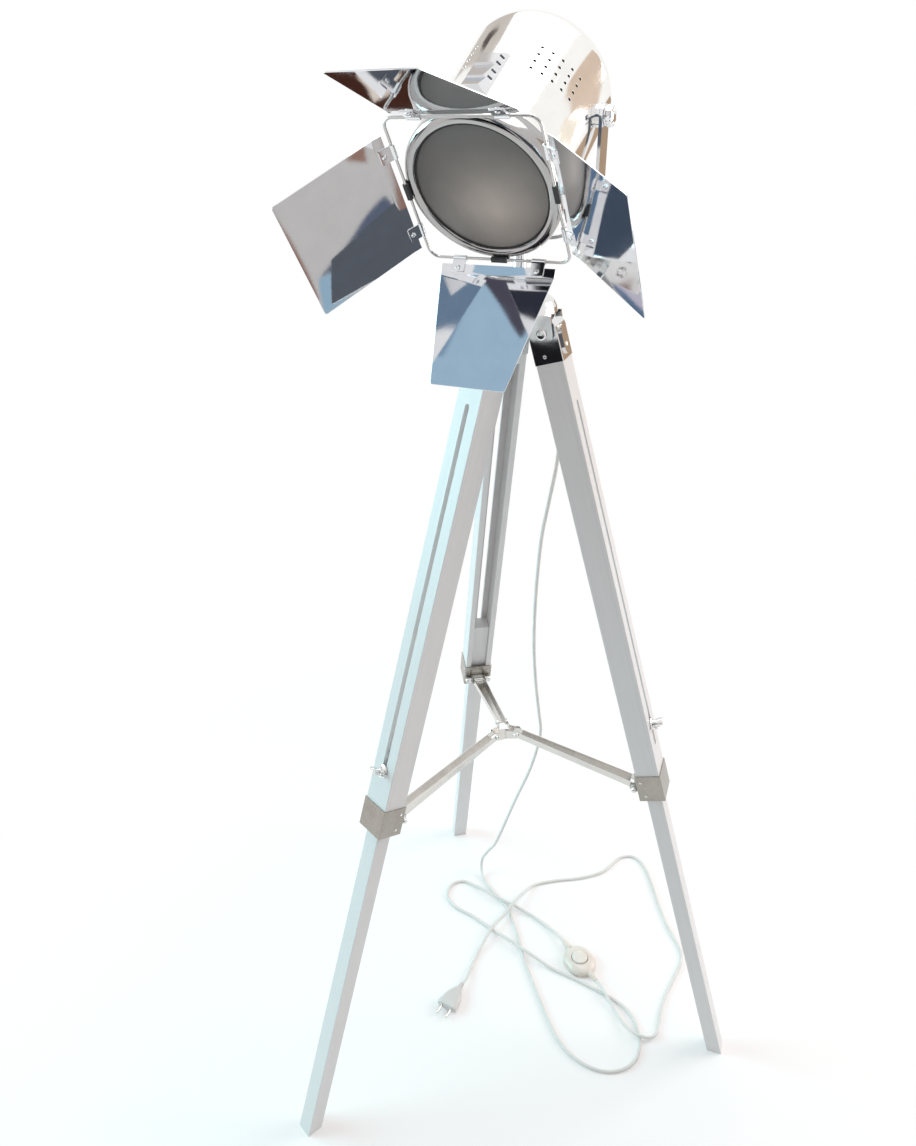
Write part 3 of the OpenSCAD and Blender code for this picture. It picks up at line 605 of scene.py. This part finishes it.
# stadium outline: a circle pulled apart, then drawn up to a crowned top
bpy.ops.mesh.primitive_circle_add(vertices=72, radius=SWITCH_WIDE, fill_type="NGON")
with editing(bpy.context.object) as shell:
    for side in (1, -1):
        pick("VERT", lambda v: v.co.x * side > 1e-4)
        bpy.ops.transform.translate(value=(side * (SWITCH_HALF - SWITCH_WIDE), 0, 0))
drawn_up(shell, (SWITCH_HALF, SWITCH_WIDE), [
    (0.0315, 0.0265, 0.0), (0.0337, 0.0282, 0.0006), (0.0347, 0.0288, 0.0020), (0.0349, 0.0290, 0.0062),
    (0.0342, 0.0283, 0.0064), (0.0342, 0.0283, 0.0070), (0.0349, 0.0289, 0.0072), (0.0341, 0.0283, 0.0096),
    (0.0320, 0.0266, 0.0122), (0.0286, 0.0240, 0.0144), (0.0240, 0.0210, 0.0160), (0.0200, 0.0184, 0.01685),
    (0.0186, 0.0176, 0.0170)])
cut_out(shell, turned([(0, 0.0100), (0.0157, 0.0100), (0.0158, 0.0150), (0.0163, 0.0166), (0.0170, 0.0174),
                       (0.0170, 0.0190), (0, 0.0190)], 64))
boots = copies(strain_relief(0.0220, 0.0064, 0.0039, 5),
               [moved(SWITCH_END, 0, CORD_ENTRY) @ TO_X, moved(-SWITCH_END, 0, CORD_ENTRY) @ TO_BACK_X])
put(merged([shell] + boots), SWITCH)
piece("foot_switch_shell", [shell], CREAM, "stand", 40, ("switch_body",))

button = turned([(0, 0.0138), (0.0149, 0.0138), (0.0150, 0.0180), (0.0148, 0.0188), (0.0141, 0.0196),
                 (0.0128, 0.0202), (0.0100, 0.0207), (0.0060, 0.0209), (0, 0.0210)], 64)
piece("foot_switch_button", [put(button, SWITCH)], BUTTON, "button", 40, ("switch_button",))

feet = copies(drum(FOOT_R, 0.0001, 0.0024, 24),
              [SWITCH @ moved(x * FOOT_X, y * FOOT_Y, 0) for x in (1, -1) for y in (1, -1)])
piece("switch_feet", feet, RUBBER, "stand")


# ---------------- plug

PIN_SPACING = 0.019
GRIP_RIBS = 5

# rounded rectangle drawn out from the cord end to the flared pin face
bpy.ops.mesh.primitive_plane_add(size=2)
with editing(bpy.context.object) as body:
    pick_all()
    bpy.ops.mesh.bevel(offset=0.55, segments=8, affect="VERTICES")
drawn_up(body, (1, 1), [
    (0.0042, 0.0042, 0.0125), (0.0054, 0.0062, 0.0140), (0.0063, 0.0086, 0.0175), (0.0070, 0.0116, 0.0230),
    (0.0075, 0.0146, 0.0300), (0.0079, 0.0163, 0.0360), (0.0080, 0.0172, 0.0420), (0.0079, 0.0178, 0.0470),
    (0.0073, 0.0185, 0.0520), (0.0066, 0.0190, 0.0548), (0.0063, 0.0189, 0.0562), (0.0058, 0.0184, 0.0568),
    (0.0050, 0.0176, 0.0570)])
# finger ribs on both flat sides, each wider and further out than the last
grips = []
for side in (1, -1):
    for rib in range(GRIP_RIBS):
        place = (side * (0.00625 + 0.000165 * rib), 0, 0.0215 + rib * 0.0031)
        grips.append(block((0.0022, 0.0110 + rib * 0.0018, 0.0012), place, 0.0004))
lying = PLUG @ moved(0, 0, CORD_ENTRY) @ TO_X
shapes = [put(merged([body] + grips), lying), put(strain_relief(0.0150, 0.0039, 0.0056, 4), lying)]
piece("plug_shell", shapes, PLUG_WHITE, "stand", 38, ("plug_body",))

pin = turned([(0, 0.0560), (0.0034, 0.0560), (0.0034, 0.0573), (0.0030, 0.0577), (0.0024, 0.0578),
              (0.0024, 0.0742), (0.0023, 0.0750), (0.0018, 0.0757), (0.0010, 0.07596), (0, 0.0760)], 32)
pins = copies(pin, [PLUG @ moved(0, side * PIN_SPACING / 2, CORD_ENTRY) @ TO_X for side in (1, -1)])
piece("plug_contacts", pins, NICKEL, "stand", 35, ("plug_pins",))


# ---------------- lamp housing

SHEET = 0.0014
FRONT, BACK, DOME_DEPTH = 0.132, -0.0460, 0.056
# The dome's equation gives 1 on its outer face and 0.95 to 0.97 on its inner one
DOME_MIDDLE = 0.985
# The step where the dome meets the barrel
SEAM_STEP, SEAM_HEIGHT = 0.0003, 0.0006
# Vent holes: their turn about the barrel from each side, and their distance from the tilt axis
VENT_R, VENT_TURNS, VENTS_AHEAD = 0.0022, (31.2, 39.5, 47.8, 56.1, 64.4), (0.007, 0.020, 0.033, 0.046)
VENT_START, VENT_LENGTH = 0.087, 0.010
FACETS = 176


def arc_down(radius, depth, angles):
    """Profile points of the dome, from its rim down."""
    arc = [math.radians(angle) for angle in angles]
    return [(radius * math.cos(angle), BACK - depth * math.sin(angle)) for angle in arc]


def smooth_over_vents(shape):
    """Gives the sheet the true normals of barrel and dome, so that the cuts
    leave no dents in its reflections."""
    normals = []
    for vertex in shape.data.vertices:
        x, y, z = vertex.co
        radius = math.hypot(x, y)
        if z > BACK + 0.0002:
            normal = Vector((x, y, 0))
            inner = radius < BARREL_R - SHEET / 2
        else:
            normal = Vector((x / BARREL_R ** 2, y / BARREL_R ** 2, (z - BACK) / DOME_DEPTH ** 2))
            inner = (radius / BARREL_R) ** 2 + ((z - BACK) / DOME_DEPTH) ** 2 < DOME_MIDDLE
        normal = -normal if inner else normal
        normals.append(normal.normalized() if normal.length > 1e-9 else Vector((0, 0, -1)))
    shape.data.normals_split_custom_set_from_vertices(normals)


outside = [(BARREL_R, z / 1000) for z in (132, 118, 100, 82, 64, 46, 28, 10, -8, -26, -45.4)]
seam = [(BARREL_R - SEAM_STEP, BACK), (BARREL_R - SEAM_STEP, BACK - SEAM_HEIGHT)]
inside = [(BARREL_R - SHEET, z) for z in (BACK, 0.0, 0.05, FRONT)]
housing = turned(outside + seam + arc_down(BARREL_R, DOME_DEPTH, range(2, 90, 4))
                 + [(0, BACK - DOME_DEPTH), (0, BACK - DOME_DEPTH + SHEET)]
                 + arc_down(BARREL_R - SHEET, DOME_DEPTH - SHEET, range(84, 0, -12))
                 + inside + [(BARREL_R, FRONT)], FACETS)
vents = []
for turns in (VENT_TURNS, [180 - turn for turn in VENT_TURNS]):
    for turn in turns:
        vents += [moved(0, 0, z) @ swung(turn, "Z") @ moved(VENT_START, 0, 0) @ TO_X for z in VENTS_AHEAD]
cut_out(housing, merged(copies(drum(VENT_R, 0, VENT_LENGTH, 20), vents)))
for polygon in housing.data.polygons:
    polygon.use_smooth = True
smooth_over_vents(housing)
put(housing, LAMP)
# done here and not by piece, whose smoothing would drop the normals
housing.name = housing.data.name = "housing_shell"
housing.data.materials.append(HOUSING)
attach(housing, "lamp")
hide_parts("barrel", "rear_dome")

# the bezel's profile: distance out from the barrel's face, and ahead of the tilt axis
RING_PROFILE = [
    (0, 0.1220), (0.0009, 0.1220), (0.0014, 0.1226), (0.0014, 0.1405), (0.0012, 0.1428), (0.0004, 0.1446),
    (-0.0008, 0.1460), (-0.0024, 0.1470), (-0.0044, 0.1477), (-0.0062, 0.1479), (-0.0080, 0.1478),
    (-0.0096, 0.1474), (-0.0108, 0.1468), (-0.0116, 0.1459), (-0.0120, 0.1449), (-0.0122, 0.1440),
    (-0.0124, 0.1436), (-0.0018, 0.1436), (-0.0018, 0.1322), (0, 0.1322), (0, 0.1220)]
ring = turned([(BARREL_R + out, ahead) for out, ahead in RING_PROFILE], FACETS)
piece("front_bezel", [put(ring, LAMP)], RING, "lamp", 50, ("bezel",))

GASKET_R, GASKET_BEAD, GASKET_AHEAD = 0.0800, 0.0008, 0.1443
bpy.ops.mesh.primitive_torus_add(major_segments=120, minor_segments=10, major_radius=GASKET_R,
                                 minor_radius=GASKET_BEAD)
gasket = put(bpy.context.object, LAMP @ moved(0, 0, GASKET_AHEAD))
piece("lens_gasket", [gasket], RUBBER, "lamp", 60)

glass = turned([(0, 0.1406), (0.0895, 0.1406), (0.0895, 0.1434), (0.0796, 0.1434), (0.0780, 0.14364),
                (0.0700, 0.14442), (0.0620, 0.14510), (0.0520, 0.14585), (0.0420, 0.14645), (0.0320, 0.14688),
                (0.0210, 0.14719), (0.0100, 0.14735), (0, 0.1474)], 144)
piece("frosted_glass", [put(glass, LAMP)], LENS, "lamp", 40, ("lens",))


# ---------------- barn doors

FRAME_HALF = 0.0925
ROD_R, ROD_BEND = 0.0018, 0.013
DOOR_SHEET, DOOR_WIDTH, DOOR_CORNER = 0.0012, 0.150, 0.003
# The hinge strip: its two edges' distances from the rod, its dip under the door's
# opening, and the bend from it up to the leaf, with the length that the bend takes
STRIP_START, STRIP_END, STRIP_DIP, LEAF_BEND = 0.008, 0.019, 6, math.radians(8)
BEND_LENGTH, BEND_EASE = 0.002, 0.0014
# The hinge tabs: size, distance of the middle from the rod, height over the leaf,
# height of the screw's seat, places along the rod, distance of the screw from it, corners
TAB_SIZE, TAB_SHEET, TAB_MIDDLE, TAB_LIFT, TAB_SEAT = (0.0172, 0.0155), 0.0013, 0.01005, 0.0006, 0.00115
TAB_PLACES, TAB_SCREW, TAB_CORNER = (-0.052, 0.052), 0.0128, 0.0014
# How far off an edge may lie and still be picked
SLIVER = 0.0001

# turn about the lamp's axis, opening, length from the hinge line, width of the far edge
DOORS = {"top": (0, 44, 0.170, 0.098), "left": (90, 57.5, 0.155, 0.150),
         "bottom": (180, 67, 0.165, 0.098), "right": (270, 39, 0.155, 0.150)}

# the frame: a square with rounded corners, made round rod by the curve's own depth
bpy.ops.mesh.primitive_plane_add(size=2 * FRAME_HALF)
with editing(bpy.context.object, solid=False) as rod:
    pick_all()
    bpy.ops.mesh.bevel(offset=ROD_BEND, segments=10, affect="VERTICES")
    pick_all()
    bpy.ops.mesh.delete(type="ONLY_FACE")
bpy.ops.object.convert(target="CURVE")
rod = bpy.context.object
rod.data.bevel_depth = ROD_R
rod.data.bevel_resolution = 6
bpy.ops.object.convert(target="MESH")
rod = put(bpy.context.object, DOOR_FRAME)
piece("rod_frame", [rod], WIREROD, "lamp", 60, ("door_frame",))


def knuckle_model():
    """Hinge tab whose end is spun round the rod's line, with a screw and a rivet head."""
    bpy.ops.mesh.primitive_plane_add(size=1)
    with editing(bpy.context.object, solid=False) as tab:
        bpy.ops.transform.resize(value=(*TAB_SIZE, 1))
        bpy.ops.transform.translate(value=(0, TAB_MIDDLE, DOOR_SHEET / 2 + TAB_LIFT))
        pick("VERT", lambda v: v.co.y > TAB_MIDDLE)
        bpy.ops.mesh.bevel(offset=TAB_CORNER, segments=4, affect="VERTICES")
        pick("EDGE", lambda e: all(v.co.y < TAB_MIDDLE for v in e.verts))
        bpy.ops.mesh.spin(steps=24, angle=math.radians(-300), center=(0, 0, 0), axis=(1, 0, 0))
        pick_all()
        bpy.ops.mesh.remove_doubles(threshold=1e-6)
        bpy.ops.mesh.normals_make_consistent(inside=False)
    modify(tab, "SOLIDIFY", thickness=TAB_SHEET, offset=0)
    eased(tab, 0.0002, 1, 50)
    screw = put(screw_model(), moved(0, TAB_SCREW, DOOR_SHEET / 2 + TAB_SEAT))
    rivet = turned([(0, -0.0001), (0.0021, -0.0001), (0.0019, 0.0003), (0.0012, 0.0007), (0, 0.0008)], 24)
    put(rivet, moved(0, TAB_SCREW, -DOOR_SHEET / 2) @ swung(180, "X"))
    return merged([tab, screw, rivet])


def barn_door(side):
    """Mirror-polished leaf: hinge strip, soft bend, tapering leaf, rounded far
    corners and eased edges."""
    turn, opening, length, far_width = DOORS[side]
    leaf = length - STRIP_END
    bpy.ops.mesh.primitive_plane_add(size=1)
    with editing(bpy.context.object, solid=False) as door:
        bpy.ops.transform.resize(value=(DOOR_WIDTH, STRIP_END - STRIP_START, 1))
        bpy.ops.transform.translate(value=(0, (STRIP_END + STRIP_START) / 2, 0))
        pick("EDGE", lambda e: all(v.co.y > STRIP_END - SLIVER for v in e.verts))
        reached, width = 0, DOOR_WIDTH
        for out in (BEND_LENGTH, leaf):
            step, wide = out - reached, DOOR_WIDTH + (far_width - DOOR_WIDTH) * out / leaf
            bpy.ops.mesh.extrude_region_move(
                TRANSFORM_OT_translate={"value": (0, step * math.cos(LEAF_BEND), step * math.sin(LEAF_BEND))})
            bpy.ops.transform.resize(value=(wide / width, 1, 1), center_override=(0, 0, 0))
            reached, width = out, wide
        pick("VERT", lambda v: v.co.y > leaf / 2)
        bpy.ops.mesh.bevel(offset=DOOR_CORNER, segments=5, affect="VERTICES")
        pick("EDGE", lambda e: all(abs(v.co.y - STRIP_END) < SLIVER for v in e.verts))
        bpy.ops.mesh.bevel(offset=BEND_EASE, segments=4, affect="EDGES")
        pick_all()
        bpy.ops.mesh.normals_make_consistent(inside=False)
    modify(door, "SOLIDIFY", thickness=DOOR_SHEET, offset=0)
    eased(door, 0.0003, 2, 50)
    place = DOOR_FRAME @ swung(turn, "Z") @ moved(0, FRAME_HALF, 0) @ swung(opening - STRIP_DIP, "X")
    knuckles = copies(knuckle_model(), [moved(x, 0, 0) for x in TAB_PLACES])
    shape = put(merged([door] + knuckles), place)
    piece("barn_door_" + side, [shape], MIRROR, "door_" + side, 20, ("door_" + side,))


for side in DOORS:
    barn_door(side)


# ---------------- tilt knobs

KNOB_R, KNOB_WAIST = 0.0147, 0.60


def knob_model():
    """Six-lobed hand knob: a twelve-cornered outline with every other corner drawn
    in, raised, then smoothed."""
    bpy.ops.mesh.primitive_circle_add(vertices=12, radius=KNOB_R, fill_type="NGON")
    with editing(bpy.context.object) as grip:
        pick("VERT", lambda v: round(math.degrees(math.atan2(v.co.y, v.co.x)) / 30) % 2)
        bpy.ops.transform.resize(value=(KNOB_WAIST, KNOB_WAIST, 1), center_override=(0, 0, 0))
    steps = [(0.90, 0.1040), (0.98, 0.1042), (1, 0.1052), (1, 0.1094), (0.96, 0.1108), (0.80, 0.1120),
             (0.52, 0.1127), (0.2, 0.1128)]
    drawn_up(grip, (1, 1), [(share, share, height) for share, height in steps])
    modify(grip, "SUBSURF", levels=3, render_levels=3)
    seat = turned([(0.0045, 0.1023), (0.0110, 0.1023), (0.0112, 0.1026), (0.0112, 0.1036), (0.0108, 0.1041),
                   (0.0045, 0.1041), (0.0045, 0.1023)])
    return merged([grip, seat])


for name, turn in (("left", TO_BACK_X), ("right", TO_X)):
    piece("hand_knob_" + name, [put(knob_model(), LAMP @ turn)], CHROME, "knob_" + name, 42,
          ("knob_" + name,))


# ---------------- small parts of the legs

# The wing nut's lobes and the stud's thread are measured from the lock, and the rest
# from the leg's reference point
LOBE_SIZE, LOBE_LEAN, LOBE_AT = (0.0190, 0.0078, 0.0042), -41.7, (0, 0.0094, 0.0277)
STUD_R, THREAD_R, THREAD_PITCH, THREAD_START = 0.00342, 0.00032, 0.00125, 0.0288
COLLAR_BOLT, SHANK_HALF = (-0.027, 0, -0.5944), 0.0134
TONGUE_SCREW = (0.0222, 0, 0.1035)
# Place and size of the screws in each side of the collar and of the cap
SIDE_SCREWS = [(-0.0125, 0.02478, -0.578, 0.7), (-0.0085, 0.02478, -0.603, 0.7),
               (-0.004, 0.02418, 0.0955, 0.8)]


def wing_nut_model():
    """Wing nut along Z: a bored, waisted body and two flared lobes that lean out
    from its flanks."""
    body = turned([(0.00366, 0.0189), (0.0092, 0.0189), (0.0095, 0.0193), (0.0095, 0.0200), (0.0090, 0.0204),
                   (0.0072, 0.0209), (0.0064, 0.0222), (0.0059, 0.0250), (0.0056, 0.0276), (0.0052, 0.0283),
                   (0.00366, 0.0284), (0.00366, 0.0189)], 40)
    lobe = block(LOBE_SIZE)
    with editing(lobe):
        pick("FACE", lambda face: face.normal.x > 0.9)
        bpy.ops.transform.resize(value=(1, 1.5, 0.85), center_override=(LOBE_SIZE[0] / 2, 0, 0))
    modify(lobe, "SUBSURF", levels=3, render_levels=3)
    leaning = moved(*LOBE_AT) @ swung(LOBE_LEAN, "X") @ TO_BACK_X
    lobes = copies(lobe, [leaning, swung(180, "Z") @ leaning])
    return merged([body] + lobes)


def thread_model():
    """Thread turns on the stud's free end."""
    bpy.ops.mesh.primitive_circle_add(vertices=6, radius=THREAD_R, rotation=(math.pi / 2, 0, 0),
                                      location=(STUD_R, 0, THREAD_START))
    wire = put(bpy.context.object, Matrix())
    modify(wire, "SCREW", angle=2 * math.pi, screw_offset=THREAD_PITCH, iterations=5,
           steps=16, render_steps=16)
    with editing(wire) as thread:
        pick_all()
        bpy.ops.mesh.fill_holes(sides=6)
    return thread


def clevis_end_model():
    """One end of the clevis bolt: washer, hexagon and acorn dome."""
    dome = turned([(0, 0.0186), (0.0047, 0.0186), (0.0047, 0.0200), (0.0045, 0.0212), (0.0039, 0.0224),
                   (0.0029, 0.0234), (0.0016, 0.0239), (0, 0.0240)], 36)
    return merged([drum(0.0062, 0.0132, 0.0144, 40, 0.0002), drum(0.0056, 0.0144, 0.0188, 6, 0.0003), dome])


def leg_parts(letter):
    """One leg's wing nut, stud thread, clevis bolt and screws."""
    leg = leg_place(letter)
    lock = leg @ moved(0, 0, -LOCK_AT[letter]) @ TO_X
    piece("wing_nut_%s_fine" % letter, [put(wing_nut_model(), lock)], BOLT, "wing_" + letter,
          40, ("wing_nut_" + letter,))
    piece("stud_thread_" + letter, [put(thread_model(), lock)], BOLT, "foot_" + letter, 60)
    bolt = leg @ moved(*COLLAR_BOLT)
    sideways = {side: swung(-90 * side, "X") for side in (1, -1)}
    ends = copies(clevis_end_model(), [bolt @ sideways[side] for side in (1, -1)])
    shank = put(drum(0.0030, -SHANK_HALF, SHANK_HALF, 28), bolt @ sideways[1])
    piece("clevis_bolt_" + letter, ends + [shank], BOLT, "leg_" + letter, 35,
          ("collar_bolts_" + letter,))
    seats = [leg @ moved(*TONGUE_SCREW) @ TO_X]
    for side in (1, -1):
        for x, y, z, size in SIDE_SCREWS:
            seats.append(leg @ moved(x, side * y, z) @ sideways[side] @ Matrix.Scale(size, 4))
    piece("leg_screws_" + letter, copies(screw_model(), seats), BOLT, "leg_" + letter, 35)


for letter in LEG_AZIMUTH:
    leg_parts(letter)

gland = merged([drum(0.0064, 0.0500, 0.0560, 6, 0.0004),
                put(strain_relief(0.0195, 0.0052, 0.0036, 6), moved(0, 0, 0.0555))])
piece("gland_boot", [put(gland, GLAND @ TO_X)], BLACK, "stand", 35, ("cable_gland",))


# ---------------- finishes of the CAD nodes

FINISHES = [
    (CAST, "tripod_head leg_cap_a leg_cap_b leg_cap_c"),
    (CHROME, "stem yoke tilt_pivots top_cowl knob_left knob_right"),
    (BOLT, "hinge_bolts lock_bolt_a lock_bolt_b lock_bolt_c wing_nut_a wing_nut_b wing_nut_c"),
    (BOLT, "collar_bolts_a collar_bolts_b collar_bolts_c"),
    (SATIN, "collar_a collar_b collar_c"),
    (ZINC, "spreader_hub spreader_arm_a spreader_arm_b spreader_arm_c"),
    (HOUSING, "barrel rear_dome"), (RING, "bezel"), (LENS, "lens"), (OPAL, "bulb"), (SPUN, "reflector"),
    (MIRROR, "door_top door_bottom door_left door_right"), (WIREROD, "door_frame"),
    (BLACK, "lamp_socket frame_clips cable_gland"), (CORD, "cord cord_tail"), (CREAM, "switch_body"),
    (BUTTON, "switch_button"), (PLUG_WHITE, "plug_body"), (NICKEL, "plug_pins")]
for letter in LEG_AZIMUTH:
    FINISHES.append((painted_timber(letter, jointed=True), "upper_leg_" + letter))
    FINISHES.append((painted_timber(letter, jointed=False), "lower_leg_" + letter))
for finish, names in FINISHES:
    for name in names.split():
        nodes[name].data.materials.clear()
        nodes[name].data.materials.append(finish)


# ---------------- stage and light

FLOOR_SIDE, FLOOR_DROP = 28, 0.0001
# Glow of the paper as it is seen, and the distances between which it turns plain white
LIFT, WHITE_FROM, WHITE_FULL = 0.19, 0.62, 1.15
ROOM_COLOUR, ROOM_STRENGTH = (0.82, 0.81, 0.815, 1), 0.57
LIGHTS_AIM = Vector((0, 0, 0.8))
HEAD_AT = Vector((0, -0.05, 1.45))


def staged(shape, name, material):
    """Names a floor or card and gives it its material."""
    shape.name = shape.data.name = name
    shape.data.materials.clear()
    shape.data.materials.append(material)


def floor_paper():
    """Pale paper that takes the shadows near the lamp and runs out into plain white."""
    look = Finish("floor_paper")
    at = look.point()
    seen = look.seen_ray()
    mottle = look.cloud(at, 3, 3)
    look.shade(Base_Color=look.blend(mottle, (0.3, (0.83, 0.81, 0.804)), (0.7, (0.84, 0.82, 0.814))),
               Roughness=0.9, Specular_IOR_Level=0.1)
    lift = look.node("ShaderNodeEmission", {}, {"Strength": seen * LIFT})
    paper = look.node("ShaderNodeAddShader", {}, {0: Wire(look, look.shader.outputs[0]), 1: lift})
    plain = look.node("ShaderNodeEmission", {}, {"Strength": 1.0})
    far = look.node("ShaderNodeVectorMath", {"operation": "LENGTH"}, {0: at}, "Value")
    white = seen * far.between(WHITE_FROM, WHITE_FULL)
    look.surface(look.node("ShaderNodeMixShader", {}, {0: white, 1: paper, 2: plain}))
    return look.material


bpy.ops.mesh.primitive_plane_add(size=FLOOR_SIDE, location=(0, 0, -FLOOR_DROP))
staged(put(bpy.context.object, Matrix()), "floor", floor_paper())

world = bpy.data.worlds.new("studio")
world.use_nodes = True
bpy.context.scene.world = world
sky = Graph(world.node_tree)
room = sky.node("ShaderNodeBackground", {}, {"Color": ROOM_COLOUR, "Strength": ROOM_STRENGTH})
white = sky.node("ShaderNodeBackground", {}, {"Color": (1, 1, 1, 1), "Strength": 1.0})
around = sky.node("ShaderNodeMixShader", {}, {0: sky.seen_ray(), 1: room, 2: white})
sky.tree.links.new(around.socket, sky.tree.nodes["World Output"].inputs["Surface"])


def softbox(name, place, size, power, colour):
    """A square light of that size in metres and power in watts, aimed at the lamp's middle."""
    light = bpy.data.lights.new(name, "AREA")
    light.shape = "SQUARE"
    light.size = size
    light.energy = power
    light.color = colour
    box = bpy.data.objects.new(name, light)
    bpy.context.scene.collection.objects.link(box)
    aim = (LIGHTS_AIM - Vector(place)).to_track_quat("-Z", "Y")
    box.matrix_world = moved(*place) @ aim.to_matrix().to_4x4()


softbox("left_softbox", (-2.54, 0.85, 1.5), 1.8, 54, (0.50, 0.93, 1.0))
softbox("right_softbox", (2.7, 0.1, 1.6), 1.8, 40, (1.0, 0.955, 0.92))
softbox("top_softbox", (0.2, 0.3, 3.4), 2.0, 26, (1, 1, 1))


def seen_from_head(first, last, low, high, away):
    """Corners of a card that fills a window of directions about the lamp's head,
    from a first to a last azimuth and from a low to a high elevation, in degrees."""
    corners = []
    for azimuth, elevation in ((first, low), (last, low), (last, high), (first, high)):
        turn, rise = math.radians(azimuth), math.radians(elevation)
        direction = Vector((math.cos(rise) * math.cos(turn), math.cos(rise) * math.sin(turn), math.sin(rise)))
        corners.append(HEAD_AT + away * direction)
    return corners


# Coloured studio cards outside the picture. Only polished surfaces mirror them: the
# doors, the housing, the cast head and the spreader take their tones here.
CARDS = [
    ("left_pale", (0.57, 0.555, 0.545),
     [(0.75, -0.93, 0.63), (0.74, -0.62, 0.35), (0.97, -0.50, 0.62), (1.00, -0.73, 0.85),
      (1.00, -0.77, 0.89)]),
    ("left_flange", (0.275, 0.158, 0.126),
     [(0.706, -0.857, 0.708), (0.672, -0.873, 0.684), (0.732, -0.685, 0.461), (0.762, -0.669, 0.485)]),
    ("left_tan", (0.312, 0.186, 0.145),
     [(0.92, -0.77, 0.79), (0.97, -0.75, 0.84), (0.96, -0.72, 0.80)]),
    ("left_slate", (0.111, 0.136, 0.197),
     [(0.95, -0.64, 0.75), (0.95, -0.57, 0.69), (0.94, -0.56, 0.66), (0.86, -0.61, 0.59),
      (0.78, -0.69, 0.53)]),
    ("left_blue", (0.312, 0.466, 0.599),
     [(0.77, -0.69, 0.53), (0.85, -0.61, 0.59), (0.93, -0.55, 0.66), (0.92, -0.54, 0.64),
      (0.75, -0.63, 0.45)]),
    ("bottom_blue", (0.363, 0.517, 0.657),
     [(-1.02, -0.02, 2.45), (-0.77, -0.30, 2.63), (-1.09, -0.52, 2.33), (-1.25, -0.30, 2.22)]),
    ("bottom_band", (0.216, 0.322, 0.454),
     [(-1.02, -0.10, 2.42), (-0.97, -0.18, 2.45), (-1.13, -0.27, 2.31), (-1.15, -0.25, 2.30)]),
    ("bottom_slate", (0.077, 0.073, 0.1),
     [(-0.96, -0.17, 2.45), (-0.93, -0.17, 2.47), (-0.81, -0.30, 2.56), (-0.88, -0.35, 2.50),
      (-0.96, -0.39, 2.42)]),
    ("right_steel", (0.106, 0.172, 0.275),
     [(-0.62, 1.18, 1.03), (-0.59, 1.07, 0.77), (-0.31, 1.01, 0.43), (-0.34, 1.16, 0.78)]),
    ("right_light", (0.224, 0.407, 0.557),
     [(-0.56, 1.08, 0.79), (-0.47, 1.05, 0.66), (-0.44, 1.09, 0.73)]),
    ("right_lilac", (0.53, 0.504, 0.599),
     [(-0.37, 1.13, 0.80), (-0.43, 1.09, 0.74), (-0.46, 1.04, 0.67), (-0.35, 1.01, 0.52)]),
    ("right_patch", (0.116, 0.116, 0.145),
     [(-0.41, 1.08, 0.74), (-0.43, 1.06, 0.71), (-0.40, 1.05, 0.67), (-0.39, 1.07, 0.71)]),
    ("top_brown", (0.055, 0.021, 0.014),
     [(-0.31, 0.98, 1.02), (-0.04, 0.93, 0.97), (0.27, 0.93, 1.03), (-0.12, 0.98, 1.08)]),
    ("top_beige", (0.727, 0.65, 0.578),
     [(-0.17, 0.95, 1.01), (-0.07, 0.93, 0.99), (-0.09, 0.95, 1.04), (-0.12, 0.96, 1.06)]),
    ("barrel_band", (0.60, 0.56, 0.53),
     [(0.1, 1.01, 2.34), (-0.19, 0.77, 2.53), (-0.25, 0.76, 2.48), (-0.3, 0.76, 2.43),
      (-0.23, 1.11, 1.96), (-0.07, 1.21, 1.93)]),
    ("barrel_streak", (0.10, 0.085, 0.08),
     [(-0.18, 0.93, 2.25), (-0.17, 0.99, 2.15), (-0.19, 0.98, 2.13), (-0.22, 0.92, 2.19),
      (-0.23, 0.86, 2.27), (-0.2, 0.89, 2.27), (-0.18, 0.85, 2.34)]),
    ("barrel_tan", (0.70, 0.56, 0.46),
     [(0.45, 0.09, 1.75), (0.41, -0.03, 1.81), (0.38, -0.08, 1.8), (0.39, -0.09, 1.76),
      (0.43, -0.06, 1.66), (0.46, 0.04, 1.57), (0.46, 0.11, 1.54), (0.48, 0.09, 1.61), (0.49, 0.06, 1.68)]),
    ("barrel_cream", (0.93, 0.86, 0.76),
     [(0.41, -0.09, 1.68), (0.41, -0.11, 1.61), (0.43, -0.01, 1.51), (0.45, 0.0, 1.59)]),
    ("steel_behind", (0.08, 0.11, 0.16), seen_from_head(-125, -110, -8, 16, 2.5)),
    ("blue_band", (0.18, 0.27, 0.38), seen_from_head(-116, -102, 26, 40, 2.6)),
    ("floor_slate", (0.035, 0.038, 0.055), seen_from_head(-162, -146, -44, -30, 1.9)),
    ("front_dark", (0.012, 0.012, 0.015), seen_from_head(-150, -118, -34, -8, 2.3)),
    ("front_grey", (0.12, 0.135, 0.16), seen_from_head(-112, -70, -30, 8, 2.6)),
    ("low_gold", (0.46, 0.33, 0.23), seen_from_head(22, 52, -24, 2, 2.3))]


def card_paint(name, colour):
    """A plain glow of one colour."""
    look = Finish(name)
    look.tree.nodes.remove(look.shader)
    look.surface(look.node("ShaderNodeEmission", {}, {"Color": (*colour, 1), "Strength": 1.0}))
    return look.material


for name, colour, corners in CARDS:
    bpy.ops.mesh.primitive_circle_add(vertices=len(corners), radius=1, fill_type="NGON")
    card = bpy.context.object
    for vertex, corner in zip(card.data.vertices, corners):
        vertex.co = corner
    card.data.update()
    for ray in ("camera", "shadow", "diffuse", "transmission"):
        setattr(card, "visible_" + ray, False)
    staged(card, "card_" + name, card_paint("card_" + name, colour))

bpy.context.scene.view_settings.view_transform = "Standard"
